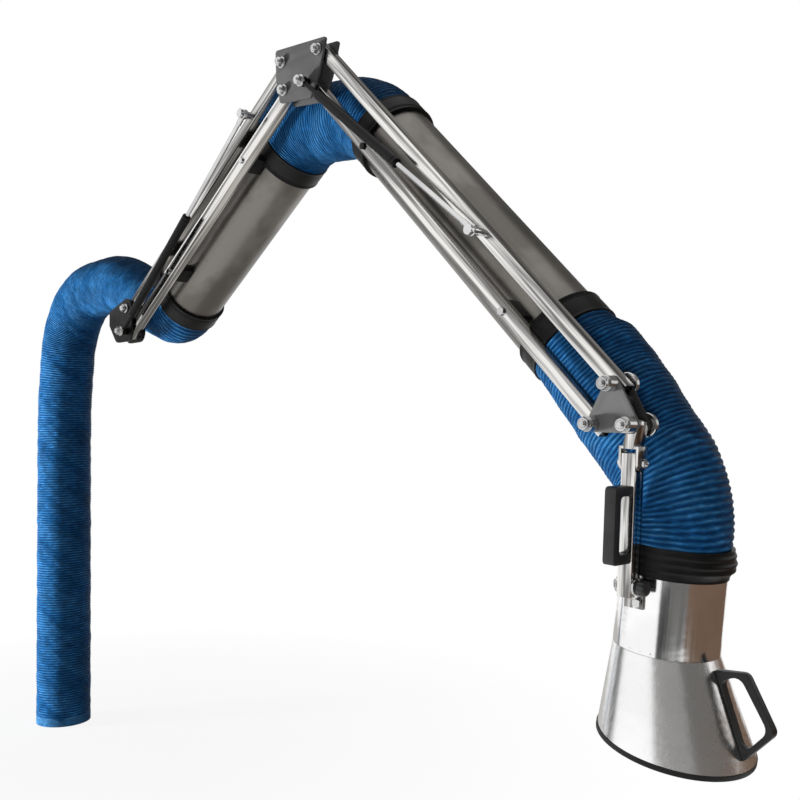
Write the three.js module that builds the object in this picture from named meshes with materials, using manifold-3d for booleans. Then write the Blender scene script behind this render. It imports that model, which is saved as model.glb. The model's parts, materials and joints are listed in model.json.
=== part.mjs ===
// Fume extraction arm: two parallelogram arms carry steel ducts, three ribbed hoses and a hood.
// Millimetres, +Z up. The linkage swings in the XZ plane at Y = 0 and the ducts lie beside it at +Y.
// The origin is the middle of the base bracket's mounting face.
import * as THREE from 'three';
import { mergeVertices } from 'three/addons/utils/BufferGeometryUtils.js';
import Module from 'manifold-3d';

const wasm = await Module();
wasm.setup();

// Clearances
const GAP = 0.3;
const PIN_CLEARANCE = 0.3;
const SLIDE_CLEARANCE = 0.8;

// Square tube of the two arms and of the hanger
const BAR = 25;
const BAR_WALL = 2;
const BAR_END = 17;
const BUSH_DIAMETER = 18;
const BUSH_PROUD = 2.2;

// Side plates and the pivot bolts through them
const PLATE = 5;
const BOLT_DIAMETER = 12;
const BOLT_TIP = 5;
const HEAD_ACROSS = 19;
const HEAD_HEIGHT = 7.5;
const NUT_HEIGHT = 9;
const WASHER_DIAMETER = 25;
const WASHER_HEIGHT = 4;
const WRIST_SPACER_HEIGHT = 19;
const DISC_DIAMETER = 38;
const DISC_HEIGHT = 8;

// Base bracket
const BASE_REACH = 97;
const BASE_RISE = 21;
const BASE_WEB = 5;
const BASE_WEB_HEIGHT = 38;
const BASE_HOLE_DIAMETER = 9;
const BASE_HOLE_SPACING = 22;
const BASE_CORNER = 27;
const BASE_HEEL = 50;

// Arm 1, from the base bracket up to the elbow
const ARM1_LENGTH = 855;
const ARM1_RISE_ANGLE = 33.4;
const ARM1_PIVOT_DROP = 63.4;
const ARM1_PIVOT_SHIFT = 6.2;

// Elbow plates, from arm 1's upper pivot to arm 2's
const ELBOW_STEP = 125.4;
const ELBOW_DROP = 7.7;
const ELBOW_CORNER = 6;

// Arm 2, from the elbow down to the wrist
const ARM2_LENGTH = 1025;
const ARM2_FALL_ANGLE = 45.7;
const ARM2_PIVOT_DROP = 61.3;
const ARM2_PIVOT_SHIFT = -35.6;

// Wrist plates, from arm 2's upper pivot to the hanger's
const WRIST_STEP = 32.7;
const WRIST_DROP = 63.8;
const WRIST_FRONT_CORNER = 13;
const WRIST_REAR_CORNER = 10;

// Gas struts, which run in front of the bars
const STRUT_EYE_DIAMETER = 22;
const STRUT_EYE_WIDTH = 10;
const STRUT_STANDOFF = 8;
const STRUT_NECK_LENGTH = 62;
const STRUT_BARREL_DIAMETER = 21;
const STRUT_BARREL_FLOOR = 8;
const STRUT_ROD_DIAMETER = 10;
const STRUT_ROD_INSERT = 60;
const STRUT1_STUD_ALONG = 700;
const STRUT1_BARREL_END = 420;
const STRUT2_STUD_ALONG = 635;
const STRUT2_BARREL_END = 373;
const STUD_DIAMETER = 16;

// Ducts beside the lower bars
const DUCT_DIAMETER = 160;
const DUCT_WALL = 1.2;
const DUCT_SIDE = 121;
const DUCT1_LIFT = 20;
const DUCT1_START = 128;
const DUCT1_END = 677;
const DUCT2_LIFT = 0.7;
const DUCT2_START = 162;
const DUCT2_END = 809;

// Saddle brackets between the lower bars and the ducts
const SADDLE_LENGTH = 44;
const SADDLE_HEIGHT = 23;
const SADDLE_BOLT_DIAMETER = 8;
const SADDLE_NUT_ACROSS = 13;
const SADDLE_NUT_HEIGHT = 4;
const DUCT1_SADDLES = [250, 644];
const DUCT2_SADDLES = [240, 752];

// Ribbed hoses
const HOSE_DIAMETER = 170;
const HOSE_BORE = 156;
const RIB_DEPTH = 4;
const BASE_HOSE_RIBS = 110;
const BASE_HOSE_CLEAR = 25;
const BASE_HOSE_FIRST_BEND = 86;
const BASE_HOSE_CLIMB_ANGLE = 158;
const BASE_HOSE_CLIMB = 265;
const BASE_HOSE_TOP_BEND = 230;
const BASE_HOSE_LEVEL = 111;
const BASE_HOSE_LEAN = 12;
const BASE_HOSE_SLOW_BEND = 1400;
const BASE_HOSE_HANG = 925;
const ELBOW_HOSE_RIBS = 24;
const ELBOW_HOSE_BEND = 185;
const HOOD_HOSE_RIBS = 26;
const HOOD_HOSE_BEND = 170;
const HOOD_HOSE_SWELL = 6;
const HOSE_SHIFT_START = 0.6;

// Rubber cuffs over the joints of hose and duct
const CUFF_WALL = 3;
const CUFF_ON_HOSE = 24;
const CUFF_ON_DUCT = 24;

// Hanger between wrist and hood, with its drops measured from the wrist pivot
const HANGER_LEAN = 3.6;
const HANGER_SHIFT = -7;
const HANGER_TOP_DROP = 44;
const HANGER_BOLT_DROP = 59;
const HANGER_END_DROP = 264;
const YOKE_WEB_DROP = 33;
const YOKE_SHEET = 4;
const YOKE_EAR_RADIUS = 13;
const CROSS_BOLT_DIAMETER = 8;
const CROSS_HEAD_ACROSS = 13;
const CROSS_HEAD_HEIGHT = 6;
const CROSS_BOLT_TIP = 4;
const GRIP_TOP_DROP = 93;
const GRIP_HEIGHT = 118;
const GRIP_STANDOFF = 44;
const GRIP_THICKNESS = 15;
const GRIP_CORNER = 7;
const GRIP_WIDTH = 20;

// Hood bracket and its knob
const HOOD_BOLT_DROP = 247;
const CUFF_ROOM = 3.1;
const HOOD_TILT_RELIEF = 9;
const BRACKET_SHEET = 3.5;
const BRACKET_EAR_RADIUS = 13;
const BRACKET_RISE = 6;
const BRACKET_DROP = 37;
const BRACKET_SCREW_DIAMETER = 6;
const BRACKET_SCREW_DROP = 27;
const BRACKET_SCREW_SHIFT = 8;
const BRACKET_SCREW_TIP = 5;
const KNOB_DIAMETER = 25;
const KNOB_LENGTH = 17;
const KNOB_BORE_DEPTH = 12;

// Hood, with its rise and drops measured from the hood bolt
const HOOD_EXTRA_LEAN = 3.8;
const HOOD_SHIFT = 14.5;
const HOOD_WALL = 1.5;
const NECK_DIAMETER = 167.8;
const NECK_RISE = 38;
const NECK_DROP = 107;
const COLLAR = 12;
const CONE_HEIGHT = 139;
const CONE_SHIFT = 32;
const MOUTH_DIAMETER = 246;
const MOUTH_TILT = 4.2;
const RIM_HEIGHT = 9;
const RIM_THICKNESS = 6;
const RIM_PROUD = 1.6;
const HANDLE_START = 14;
const HANDLE_LENGTH = 134;
const HANDLE_DEPTH = 63;
const HANDLE_FLARE = 12;
const HANDLE_TOP_SLOPE = 10;
const HANDLE_END_SLOPE = 25;
const HANDLE_BAND = 10;
const HANDLE_BASE = 4;
const HANDLE_CORNER = 12;
const HANDLE_HOLE_CORNER = 16;
const HANDLE_HOLE_FOOT = 10;
const HANDLE_WIDTH = 15;

// Facets of round pieces, and of a hose with a bore ring for every few ribs
const ROUND_SIDES = 24;
const PIN_SIDES = 12;
const HOSE_SIDES = 8;
const RIBS_PER_BORE_RING = 5;

// Sizes and lateral places that follow from the ones above
const PLATE_INNER = BAR / 2 + BUSH_PROUD + GAP;
const PLATE_OUTER = PLATE_INNER + PLATE;
const STRUT_SIDE = -(PLATE_OUTER + GAP + STRUT_STANDOFF + STRUT_EYE_WIDTH / 2);
const PIN_BORE = BOLT_DIAMETER + 2 * PIN_CLEARANCE;
const CROSS_BORE = CROSS_BOLT_DIAMETER + 2 * PIN_CLEARANCE;
const SADDLE_BORE = SADDLE_BOLT_DIAMETER + 2 * PIN_CLEARANCE;
const SCREW_BORE = BRACKET_SCREW_DIAMETER + 2 * PIN_CLEARANCE;
const CUFF_DIAMETER = Math.max(HOSE_DIAMETER, DUCT_DIAMETER, NECK_DIAMETER) + 2 * (GAP + CUFF_WALL);
const HOOD_SIDE = BAR / 2 + CUFF_ROOM + CUFF_DIAMETER / 2;
const BRACKET_FRONT = HOOD_SIDE - NECK_DIAMETER / 2 - GAP - BRACKET_SHEET;

const X_AXIS = new THREE.Vector3(1, 0, 0);
const Y_AXIS = new THREE.Vector3(0, 1, 0);
const Z_AXIS = new THREE.Vector3(0, 0, 1);
const radians = THREE.MathUtils.degToRad;
const degrees = THREE.MathUtils.radToDeg;
const point = (x, z) => new THREE.Vector2(x, z);
const along = (angle) => point(Math.cos(radians(angle)), Math.sin(radians(angle)));

// A place in the XZ plane of a slanted group, in its parent's XZ plane.
function outOf(origin, turn, place) {
  return place.clone().rotateAround(point(0, 0), -radians(turn)).add(origin);
}

// A place in the parent's XZ plane, in a slanted group's own XZ plane.
function into(origin, turn, place) {
  return place.clone().sub(origin).rotateAround(point(0, 0), radians(turn));
}

// Pivots in the XZ plane
const baseUpper = point(BASE_REACH, BASE_RISE);
const baseLower = baseUpper.clone().add(point(ARM1_PIVOT_SHIFT, -ARM1_PIVOT_DROP));
const elbow1Upper = baseUpper.clone().addScaledVector(along(ARM1_RISE_ANGLE), ARM1_LENGTH);
const elbow1Lower = baseLower.clone().addScaledVector(along(ARM1_RISE_ANGLE), ARM1_LENGTH);
const elbow2Upper = elbow1Upper.clone().add(point(ELBOW_STEP, -ELBOW_DROP));
const elbow2Lower = elbow2Upper.clone().add(point(ARM2_PIVOT_SHIFT, -ARM2_PIVOT_DROP));
const wristUpper = elbow2Upper.clone().addScaledVector(along(-ARM2_FALL_ANGLE), ARM2_LENGTH);
const wristLower = elbow2Lower.clone().addScaledVector(along(-ARM2_FALL_ANGLE), ARM2_LENGTH);
const wristHanger = wristUpper.clone().add(point(WRIST_STEP, -WRIST_DROP));

// The hood's own origin, level with its bolt: first in the hanger's plane, then in the arm's
const hoodPlace = point(HANGER_SHIFT + HOOD_SHIFT, -HOOD_BOLT_DROP);
const hoodOrigin = outOf(wristHanger, HANGER_LEAN, hoodPlace);
const hoodLean = HANGER_LEAN + HOOD_EXTRA_LEAN;

const look = (color, roughness, metalness) => new THREE.MeshStandardMaterial({ color, roughness, metalness });
const polishedSteel = () => look(0xc9cacb, 0.15, 1);
const satinSteel = () => look(0x77726c, 0.4, 1);
const greyPlate = () => look(0x6f7072, 0.45, 0.8);
const blackSteel = () => look(0x1b1c1e, 0.5, 0.6);
const brightSteel = () => look(0xd2d3d2, 0.2, 1);
const blackRubber = () => look(0x111214, 0.7, 0);
const blackPlastic = () => look(0x0e0f10, 0.45, 0);
const blueHose = () => look(0x164f8f, 0.6, 0);

const arm = new THREE.Group();

// Adds one named solid to a group.
function add(group, name, geometry, finish) {
  const mesh = new THREE.Mesh(geometry, finish);
  mesh.name = name;
  group.add(mesh);
}

// A group at a place in its parent's XZ plane, turned about Y so that its own X or Z follows a slanted piece.
function slantedGroup(parent, place, side, turn) {
  const group = new THREE.Group();
  group.position.set(place.x, side, place.y);
  group.rotation.y = radians(turn);
  parent.add(group);
  return group;
}

function toSolid(geometry) {
  const plain = geometry.clone();
  plain.deleteAttribute('normal');
  plain.deleteAttribute('uv');
  const merged = mergeVertices(plain, 1e-4);
  return new wasm.Manifold(new wasm.Mesh({
    numProp: 3,
    vertProperties: new Float32Array(merged.attributes.position.array),
    triVerts: new Uint32Array(merged.index.array),
  }));
}

function toGeometry(solid) {
  const mesh = solid.getMesh();
  const geometry = new THREE.BufferGeometry();
  geometry.setAttribute('position', new THREE.BufferAttribute(new Float32Array(mesh.vertProperties), 3));
  geometry.setIndex(new THREE.BufferAttribute(new Uint32Array(mesh.triVerts), 1));
  return geometry;
}

function join(...pieces) {
  return toGeometry(pieces.map(toSolid).reduce((whole, piece) => whole.add(piece)));
}

function cut(piece, ...tools) {
  return toGeometry(tools.map(toSolid).reduce((rest, tool) => rest.subtract(tool), toSolid(piece)));
}

// A box given by its limits on each axis.
function block(x0, x1, y0, y1, z0, z1) {
  const geometry = new THREE.BoxGeometry(x1 - x0, y1 - y0, z1 - z0);
  return geometry.translate((x0 + x1) / 2, (y0 + y1) / 2, (z0 + z1) / 2);
}

// A round piece along X, between two places on that axis.
function barAlongX(x0, x1, y, z, diameter, sides = PIN_SIDES) {
  const geometry = new THREE.CylinderGeometry(diameter / 2, diameter / 2, x1 - x0, sides);
  return geometry.rotateZ(Math.PI / 2).translate((x0 + x1) / 2, y, z);
}

// A round piece along Y, at a place in the XZ plane.
function barAlongY(place, y0, y1, diameter, sides = PIN_SIDES) {
  const geometry = new THREE.CylinderGeometry(diameter / 2, diameter / 2, y1 - y0, sides);
  return geometry.translate(place.x, (y0 + y1) / 2, place.y);
}

// Hexagonal pieces, given by their size across the flats.
const overCorners = (across) => across / Math.cos(Math.PI / 6);
const hexAlongX = (x0, x1, y, z, across) => barAlongX(x0, x1, y, z, overCorners(across), 6);
const hexAlongY = (place, y0, y1, across) => barAlongY(place, y0, y1, overCorners(across), 6);

const rounded = (at, radius) => ({ at, radius });

// The points of an outline round a row of circles, anticlockwise, whose edges touch each pair of neighbours.
function outlineRound(circles) {
  const outline = new THREE.Path();
  const edges = circles.map((circle, i) => {
    const next = circles[(i + 1) % circles.length];
    const run = next.at.clone().sub(circle.at);
    return run.angle() - Math.PI / 2 + Math.asin((circle.radius - next.radius) / run.length());
  });
  circles.forEach((circle, i) => {
    const from = edges[(i + circles.length - 1) % circles.length];
    outline.absarc(circle.at.x, circle.at.y, circle.radius, from, edges[i], false);
  });
  return outline.getPoints(2);
}

function roundHole(at, diameter) {
  return new THREE.Path().absarc(at.x, at.y, diameter / 2, 0, 2 * Math.PI, false).getPoints(PIN_SIDES / 2);
}

// A flat plate from the points of its outline and of its holes, as thick as it is deep.
function plate(outline, depth, holes) {
  const shape = new THREE.Shape(outline);
  shape.holes = holes.map((hole) => new THREE.Path(hole));
  return new THREE.ExtrudeGeometry(shape, { depth, bevelEnabled: false });
}

// A plate between two places on Y, from an outline in the XZ plane.
function plateAcrossY(outline, y0, y1, holes = []) {
  return plate(outline, y1 - y0, holes).rotateX(Math.PI / 2).translate(0, y1, 0);
}

// A plate between two places on X, from an outline in the YZ plane.
function plateAcrossX(outline, x0, x1) {
  const turned = new THREE.Matrix4().makeBasis(Y_AXIS, Z_AXIS, X_AXIS);
  return plate(outline, x1 - x0, []).applyMatrix4(turned).translate(x0, 0, 0);
}

// A ring round a centre, given by two directions across its axis.
function ring(centre, across, upward, radius, sides) {
  return Array.from({ length: sides }, (_, i) => {
    const angle = (2 * Math.PI * i) / sides;
    const corner = centre.clone().addScaledVector(across, radius * Math.cos(angle));
    return corner.addScaledVector(upward, radius * Math.sin(angle));
  });
}

// A closed solid through a row of rings, whose last ring joins the first. The outer rings come first, and
// each ring turns by the right-hand rule about the direction in which they follow each other.
function ringSolid(rings) {
  const sides = rings[0].length;
  const index = [];
  rings.forEach((_, i) => {
    const next = (i + 1) % rings.length;
    for (let j = 0; j < sides; j += 1) {
      const k = (j + 1) % sides;
      index.push(i * sides + j, i * sides + k, next * sides + k);
      index.push(i * sides + j, next * sides + k, next * sides + j);
    }
  });
  const geometry = new THREE.BufferGeometry().setFromPoints(rings.flat());
  geometry.setIndex(index);
  return geometry;
}

// A sleeve along X, from a closed profile of [place on X, radius] pairs.
function sleeveAlongX(profile, lift) {
  return ringSolid(profile.map(([x, radius]) => {
    return ring(new THREE.Vector3(x, 0, lift), Y_AXIS, Z_AXIS, radius, ROUND_SIDES);
  }));
}

// A sleeve down the Z axis, from a closed profile of [drop, radius] pairs.
function sleeveDownZ(profile) {
  return ringSolid(profile.map(([drop, radius]) => {
    return ring(new THREE.Vector3(0, 0, -drop), X_AXIS, Y_AXIS.clone().negate(), radius, ROUND_SIDES);
  }));
}

// U-shaped base bracket: a web with two mounting holes, and two cheeks that hold the pivots.
function baseBracket() {
  const half = BASE_WEB_HEIGHT / 2;
  const outline = outlineRound([
    rounded(point(GAP, GAP - half), GAP),
    rounded(baseLower.clone().add(point(-BASE_HEEL, 0)), BASE_CORNER),
    rounded(baseLower, BASE_CORNER),
    rounded(baseUpper, BASE_CORNER),
    rounded(point(GAP, half - GAP), GAP),
  ]);
  const holes = [baseUpper, baseLower].map((place) => roundHole(place, PIN_BORE));
  const rear = plateAcrossY(outline, PLATE_INNER, PLATE_OUTER, holes);
  const front = plateAcrossY(outline, -PLATE_OUTER, -PLATE_INNER, holes);
  const web = block(0, BASE_WEB, -PLATE_OUTER, PLATE_OUTER, -half, half);
  const mountHoles = [-0.5, 0.5].map((share) => {
    return barAlongX(-1, BASE_WEB + 1, 0, share * BASE_HOLE_SPACING, BASE_HOLE_DIAMETER);
  });
  add(arm, 'base_bracket', cut(join(web, rear, front), ...mountHoles), blackSteel());
}

// Front and rear plate of one joint of the linkage.
function sidePlates(name, frontCorners, rearCorners, pivots) {
  const holes = pivots.map((place) => roundHole(place, PIN_BORE));
  const front = plateAcrossY(outlineRound(frontCorners), -PLATE_OUTER, -PLATE_INNER, holes);
  const rear = plateAcrossY(outlineRound(rearCorners), PLATE_INNER, PLATE_OUTER, holes);
  add(arm, `${name}_front_plate`, front, greyPlate());
  add(arm, `${name}_rear_plate`, rear, greyPlate());
}

function elbowPlates() {
  const corners = [
    [elbow1Lower, -11, -19],
    [elbow2Lower, 5, -28],
    [elbow2Lower, 31, 13],
    [elbow2Upper, 18, 16],
    [elbow1Upper, -20, 27],
    [elbow1Lower, -24, 29],
  ].map(([pivot, dx, dz]) => rounded(pivot.clone().add(point(dx, dz)), ELBOW_CORNER));
  sidePlates('elbow', corners, corners, [elbow1Upper, elbow1Lower, elbow2Upper, elbow2Lower]);
}

function wristPlates() {
  const pivots = [wristUpper, wristLower, wristHanger];
  const corners = (radius) => pivots.map((place) => rounded(place, radius));
  sidePlates('wrist', corners(WRIST_FRONT_CORNER), corners(WRIST_REAR_CORNER), pivots);
}

// Pivot bolt with its head behind the rear plate, and a nut on its tip with the washer or spacer under it.
function pivotBolt(name, place, rearSeat, frontSeat, spacer) {
  const nutSeat = frontSeat - spacer;
  const nutEnd = nutSeat - NUT_HEIGHT;
  const tip = nutEnd - BOLT_TIP;
  const head = hexAlongY(place, rearSeat, rearSeat + HEAD_HEIGHT, HEAD_ACROSS);
  const shank = barAlongY(place, tip, rearSeat + 1, BOLT_DIAMETER);
  const washer = barAlongY(place, nutSeat - 0.5, frontSeat, WASHER_DIAMETER);
  const nut = hexAlongY(place, nutEnd, nutSeat, HEAD_ACROSS);
  const bore = barAlongY(place, nutEnd - 1, frontSeat + 1, PIN_BORE);
  add(arm, `${name}_bolt`, join(head, shank), brightSteel());
  add(arm, `${name}_nut`, cut(join(washer, nut), bore), brightSteel());
}

// Large disc between the rear wrist plate and a bolt head.
function wristDisc(name, place, rearSeat) {
  const disc = barAlongY(place, rearSeat, rearSeat + DISC_HEIGHT, DISC_DIAMETER, ROUND_SIDES);
  const bore = barAlongY(place, rearSeat - 1, rearSeat + DISC_HEIGHT + 1, PIN_BORE);
  add(arm, name, cut(disc, bore), brightSteel());
}

function pivotBolts() {
  const rear = PLATE_OUTER + GAP;
  const front = -PLATE_OUTER - GAP;
  const overStrut = front - STRUT_STANDOFF - STRUT_EYE_WIDTH - GAP;
  const behindDisc = rear + DISC_HEIGHT + GAP;
  pivotBolt('base_upper', baseUpper, rear, front, WASHER_HEIGHT);
  pivotBolt('base_lower', baseLower, rear, overStrut, WASHER_HEIGHT);
  pivotBolt('elbow_1_upper', elbow1Upper, rear, front, WASHER_HEIGHT);
  pivotBolt('elbow_1_lower', elbow1Lower, rear, front, WASHER_HEIGHT);
  pivotBolt('elbow_2_upper', elbow2Upper, rear, front, WASHER_HEIGHT);
  pivotBolt('elbow_2_lower', elbow2Lower, rear, overStrut, WASHER_HEIGHT);
  pivotBolt('wrist_upper', wristUpper, behindDisc, front, WRIST_SPACER_HEIGHT);
  pivotBolt('wrist_lower', wristLower, rear, front, WRIST_SPACER_HEIGHT);
  pivotBolt('wrist_hanger', wristHanger, behindDisc, front, WRIST_SPACER_HEIGHT);
  wristDisc('wrist_upper_disc', wristUpper, rear);
  wristDisc('wrist_hanger_disc', wristHanger, rear);
}

// Square tube along X with a bush across each pivot, and holes for the bolts of its saddle brackets.
function pivotBar(length, boltPlaces) {
  const half = BAR / 2;
  const inside = half - BAR_WALL;
  const proud = half + BUSH_PROUD;
  const outer = block(-BAR_END, length + BAR_END, -half, half, -half, half);
  const inner = block(-BAR_END - 1, length + BAR_END + 1, -inside, inside, -inside, inside);
  const pivots = [point(0, 0), point(length, 0)];
  const bushes = pivots.map((place) => barAlongY(place, -proud, proud, BUSH_DIAMETER));
  const bores = pivots.map((place) => barAlongY(place, -proud - 1, proud + 1, PIN_BORE));
  const boltHoles = boltPlaces.map((x) => barAlongY(point(x, 0), -half - 1, half + 1, SADDLE_BORE));
  return cut(join(cut(outer, inner), ...bushes), ...bores, ...boltHoles);
}

// Bracket from a lower bar to its duct, clear of the cuffs, with the bolt and nut that hold it to the bar.
function saddle(x, lift, start, end) {
  const front = BAR / 2 + GAP;
  const body = block(x - SADDLE_LENGTH / 2, x + SADDLE_LENGTH / 2, front, DUCT_SIDE,
    -SADDLE_HEIGHT / 2, SADDLE_HEIGHT / 2);
  const room = (x0, x1, diameter) => barAlongX(x0, x1, DUCT_SIDE, lift, diameter + 2 * GAP, ROUND_SIDES);
  const rooms = [
    room(x - SADDLE_LENGTH, x + SADDLE_LENGTH, DUCT_DIAMETER),
    room(start - CUFF_ON_HOSE, start + CUFF_ON_DUCT + GAP, CUFF_DIAMETER),
    room(end - CUFF_ON_DUCT - GAP, end + CUFF_ON_HOSE, CUFF_DIAMETER),
  ];
  const place = point(x, 0);
  const bolt = barAlongY(place, -front - 1, front + 1, SADDLE_BOLT_DIAMETER);
  const nut = hexAlongY(place, -front - SADDLE_NUT_HEIGHT, -front, SADDLE_NUT_ACROSS);
  return join(cut(body, ...rooms), bolt, nut);
}

// Profile of a duct between two places on its axis.
function ductProfile(start, end) {
  const outer = DUCT_DIAMETER / 2;
  const inner = outer - DUCT_WALL;
  return [[start, outer], [end, outer], [end, inner], [start, inner]];
}

// Profile of a cuff over the end of a duct or neck. The hose meets that end inside it, towards +1 or -1.
function cuffProfile(end, towards, diameter) {
  const onDuct = diameter / 2 + GAP;
  const onHose = HOSE_DIAMETER / 2 + GAP;
  const outer = CUFF_DIAMETER / 2;
  const near = end - towards * CUFF_ON_DUCT;
  const far = end + towards * CUFF_ON_HOSE;
  const profile = [[near, outer], [far, outer], [far, onHose], [end, onHose], [end, onDuct], [near, onDuct]];
  return towards > 0 ? profile : profile.toReversed();
}

// One arm: its two bars, and the duct with its saddles and cuffs beside the lower bar.
function armPieces(number, lowerPivot, upperPivot, turn, length, [start, end], lift, saddles) {
  const lower = slantedGroup(arm, lowerPivot, 0, turn);
  const upper = slantedGroup(arm, upperPivot, 0, turn);
  const beside = slantedGroup(arm, lowerPivot, DUCT_SIDE, turn);
  add(lower, `arm_${number}_lower_bar`, pivotBar(length, saddles), polishedSteel());
  add(upper, `arm_${number}_upper_bar`, pivotBar(length, []), polishedSteel());
  saddles.forEach((x, i) => {
    add(lower, `duct_${number}_saddle_${i + 1}`, saddle(x, lift, start, end), blackSteel());
  });
  add(beside, `duct_${number}`, sleeveAlongX(ductProfile(start, end), lift), satinSteel());
  const cuffs = [cuffProfile(start, -1, DUCT_DIAMETER), cuffProfile(end, 1, DUCT_DIAMETER)];
  cuffs.forEach((profile, i) => {
    add(beside, `duct_${number}_cuff_${i + 1}`, sleeveAlongX(profile, lift), blackRubber());
  });
}

// Gas strut in front of the bars, from a pivot bolt to a stud that stands on the upper bar.
function strut(number, pivot, stud, barrelEnd) {
  const run = stud.clone().sub(pivot);
  const reach = run.length();
  const group = slantedGroup(arm, pivot, STRUT_SIDE, -degrees(run.angle()));
  const half = STRUT_EYE_WIDTH / 2;
  const eye = (x) => barAlongY(point(x, 0), -half, half, STRUT_EYE_DIAMETER);
  const neck = barAlongX(STRUT_EYE_DIAMETER / 3, STRUT_NECK_LENGTH + 1, 0, 0, STRUT_EYE_WIDTH);
  const barrel = barAlongX(STRUT_NECK_LENGTH, barrelEnd, 0, 0, STRUT_BARREL_DIAMETER);
  const boss = barAlongY(point(0, 0), half - 1, half + STRUT_STANDOFF, BUSH_DIAMETER);
  const pivotHole = barAlongY(point(0, 0), -half - 1, half + STRUT_STANDOFF + 1, PIN_BORE);
  const rodBore = STRUT_ROD_DIAMETER + 2 * PIN_CLEARANCE;
  const bore = barAlongX(STRUT_NECK_LENGTH + STRUT_BARREL_FLOOR, barrelEnd + 1, 0, 0, rodBore);
  add(group, `strut_${number}_barrel`, cut(join(eye(0), boss, neck, barrel), pivotHole, bore), blackSteel());

  const rod = barAlongX(barrelEnd - STRUT_ROD_INSERT, reach, 0, 0, STRUT_ROD_DIAMETER);
  const barFace = -BAR / 2 - GAP - STRUT_SIDE;
  const foot = barAlongY(point(reach, 0), half - 1, barFace, STUD_DIAMETER);
  const nut = hexAlongY(point(reach, 0), -half - NUT_HEIGHT, -half + 1, HEAD_ACROSS);
  add(group, `strut_${number}_rod`, join(rod, eye(reach), foot, nut), brightSteel());
}

function struts() {
  const stud1 = baseUpper.clone().addScaledVector(along(ARM1_RISE_ANGLE), STRUT1_STUD_ALONG);
  const stud2 = elbow2Upper.clone().addScaledVector(along(-ARM2_FALL_ANGLE), STRUT2_STUD_ALONG);
  strut(1, baseLower, stud1, STRUT1_BARREL_END);
  strut(2, elbow2Lower, stud2, STRUT2_BARREL_END);
}

// The place and heading at a distance along one leg of a route.
function stationOn({ place, angle, bend }, distance) {
  if (bend === 0) {
    const ahead = point(Math.cos(angle), Math.sin(angle));
    return { place: place.clone().addScaledVector(ahead, distance), angle };
  }
  const turned = angle + bend * distance;
  const dx = (Math.sin(turned) - Math.sin(angle)) / bend;
  const dz = (Math.cos(angle) - Math.cos(turned)) / bend;
  return { place: point(place.x + dx, place.y + dz), angle: turned };
}

// The legs of a route in the XZ plane. A move is a straight run, or an arc with a radius and a turn.
function route(start, heading, moves) {
  let end = { place: start, angle: radians(heading) };
  return moves.map(({ run, radius, turn = 0 }) => {
    const bend = turn === 0 ? 0 : Math.sign(turn) / radius;
    const length = turn === 0 ? run : radius * Math.abs(radians(turn));
    const leg = { ...end, bend, length };
    end = stationOn(leg, length);
    return leg;
  });
}

function station(legs, distance) {
  let left = distance;
  const leg = legs.find(({ length }, i) => {
    if (left <= length || i === legs.length - 1) {
      return true;
    }
    left -= length;
    return false;
  });
  return stationOn(leg, left);
}

// The turn in degrees from one heading to another, by the shorter way.
function turnBetween(heading, nextHeading) {
  return THREE.MathUtils.euclideanModulo(nextHeading - heading + 180, 360) - 180;
}

// A route between two places with given headings in degrees: straight where the cuffs lie, then two bends
// of one radius and the straight run that touches both.
function twoBends(start, heading, end, endHeading, radius) {
  const side = Math.sign(turnBetween(heading, endHeading));
  const bendCentre = (place, angle, ahead) => {
    const corner = place.clone().addScaledVector(along(angle), ahead);
    return corner.addScaledVector(along(angle + 90 * side), radius);
  };
  const first = bendCentre(start, heading, CUFF_ON_HOSE);
  const second = bendCentre(end, endHeading, -CUFF_ON_HOSE);
  const middle = second.clone().sub(first);
  const middleHeading = degrees(middle.angle());
  return route(start, heading, [
    { run: CUFF_ON_HOSE },
    { radius, turn: turnBetween(heading, middleHeading) },
    { run: middle.length() },
    { radius, turn: turnBetween(middleHeading, endHeading) },
    { run: CUFF_ON_HOSE },
  ]);
}

// Ribbed hose along a route, with its bore. It swells between its cuffs, and shifts sideways over the last
// share of its length.
function ribbedHose(legs, ribs, swell, startSide, endSide) {
  const length = legs.reduce((sum, leg) => sum + leg.length, 0);
  const ringAt = (share, radius) => {
    const { place, angle } = station(legs, share * length);
    const shifted = THREE.MathUtils.smoothstep(share, HOSE_SHIFT_START, 1 - CUFF_ON_HOSE / length);
    const side = THREE.MathUtils.lerp(startSide, endSide, shifted);
    const upward = new THREE.Vector3(-Math.sin(angle), 0, Math.cos(angle));
    const free = (share * length - CUFF_ON_HOSE) / (length - 2 * CUFF_ON_HOSE);
    const swollen = radius + swell * Math.sin(Math.PI * THREE.MathUtils.clamp(free, 0, 1));
    return ring(new THREE.Vector3(place.x, side, place.y), Y_AXIS, upward, swollen, HOSE_SIDES);
  };
  const crest = HOSE_DIAMETER / 2;
  const outer = Array.from({ length: 2 * ribs + 1 }, (_, i) => {
    return ringAt(i / (2 * ribs), i % 2 ? crest : crest - RIB_DEPTH);
  });
  const boreRings = Math.ceil(ribs / RIBS_PER_BORE_RING);
  const bore = Array.from({ length: boreRings + 1 }, (_, i) => ringAt(1 - i / boreRings, HOSE_BORE / 2));
  return ringSolid([...outer, ...bore]);
}

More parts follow.
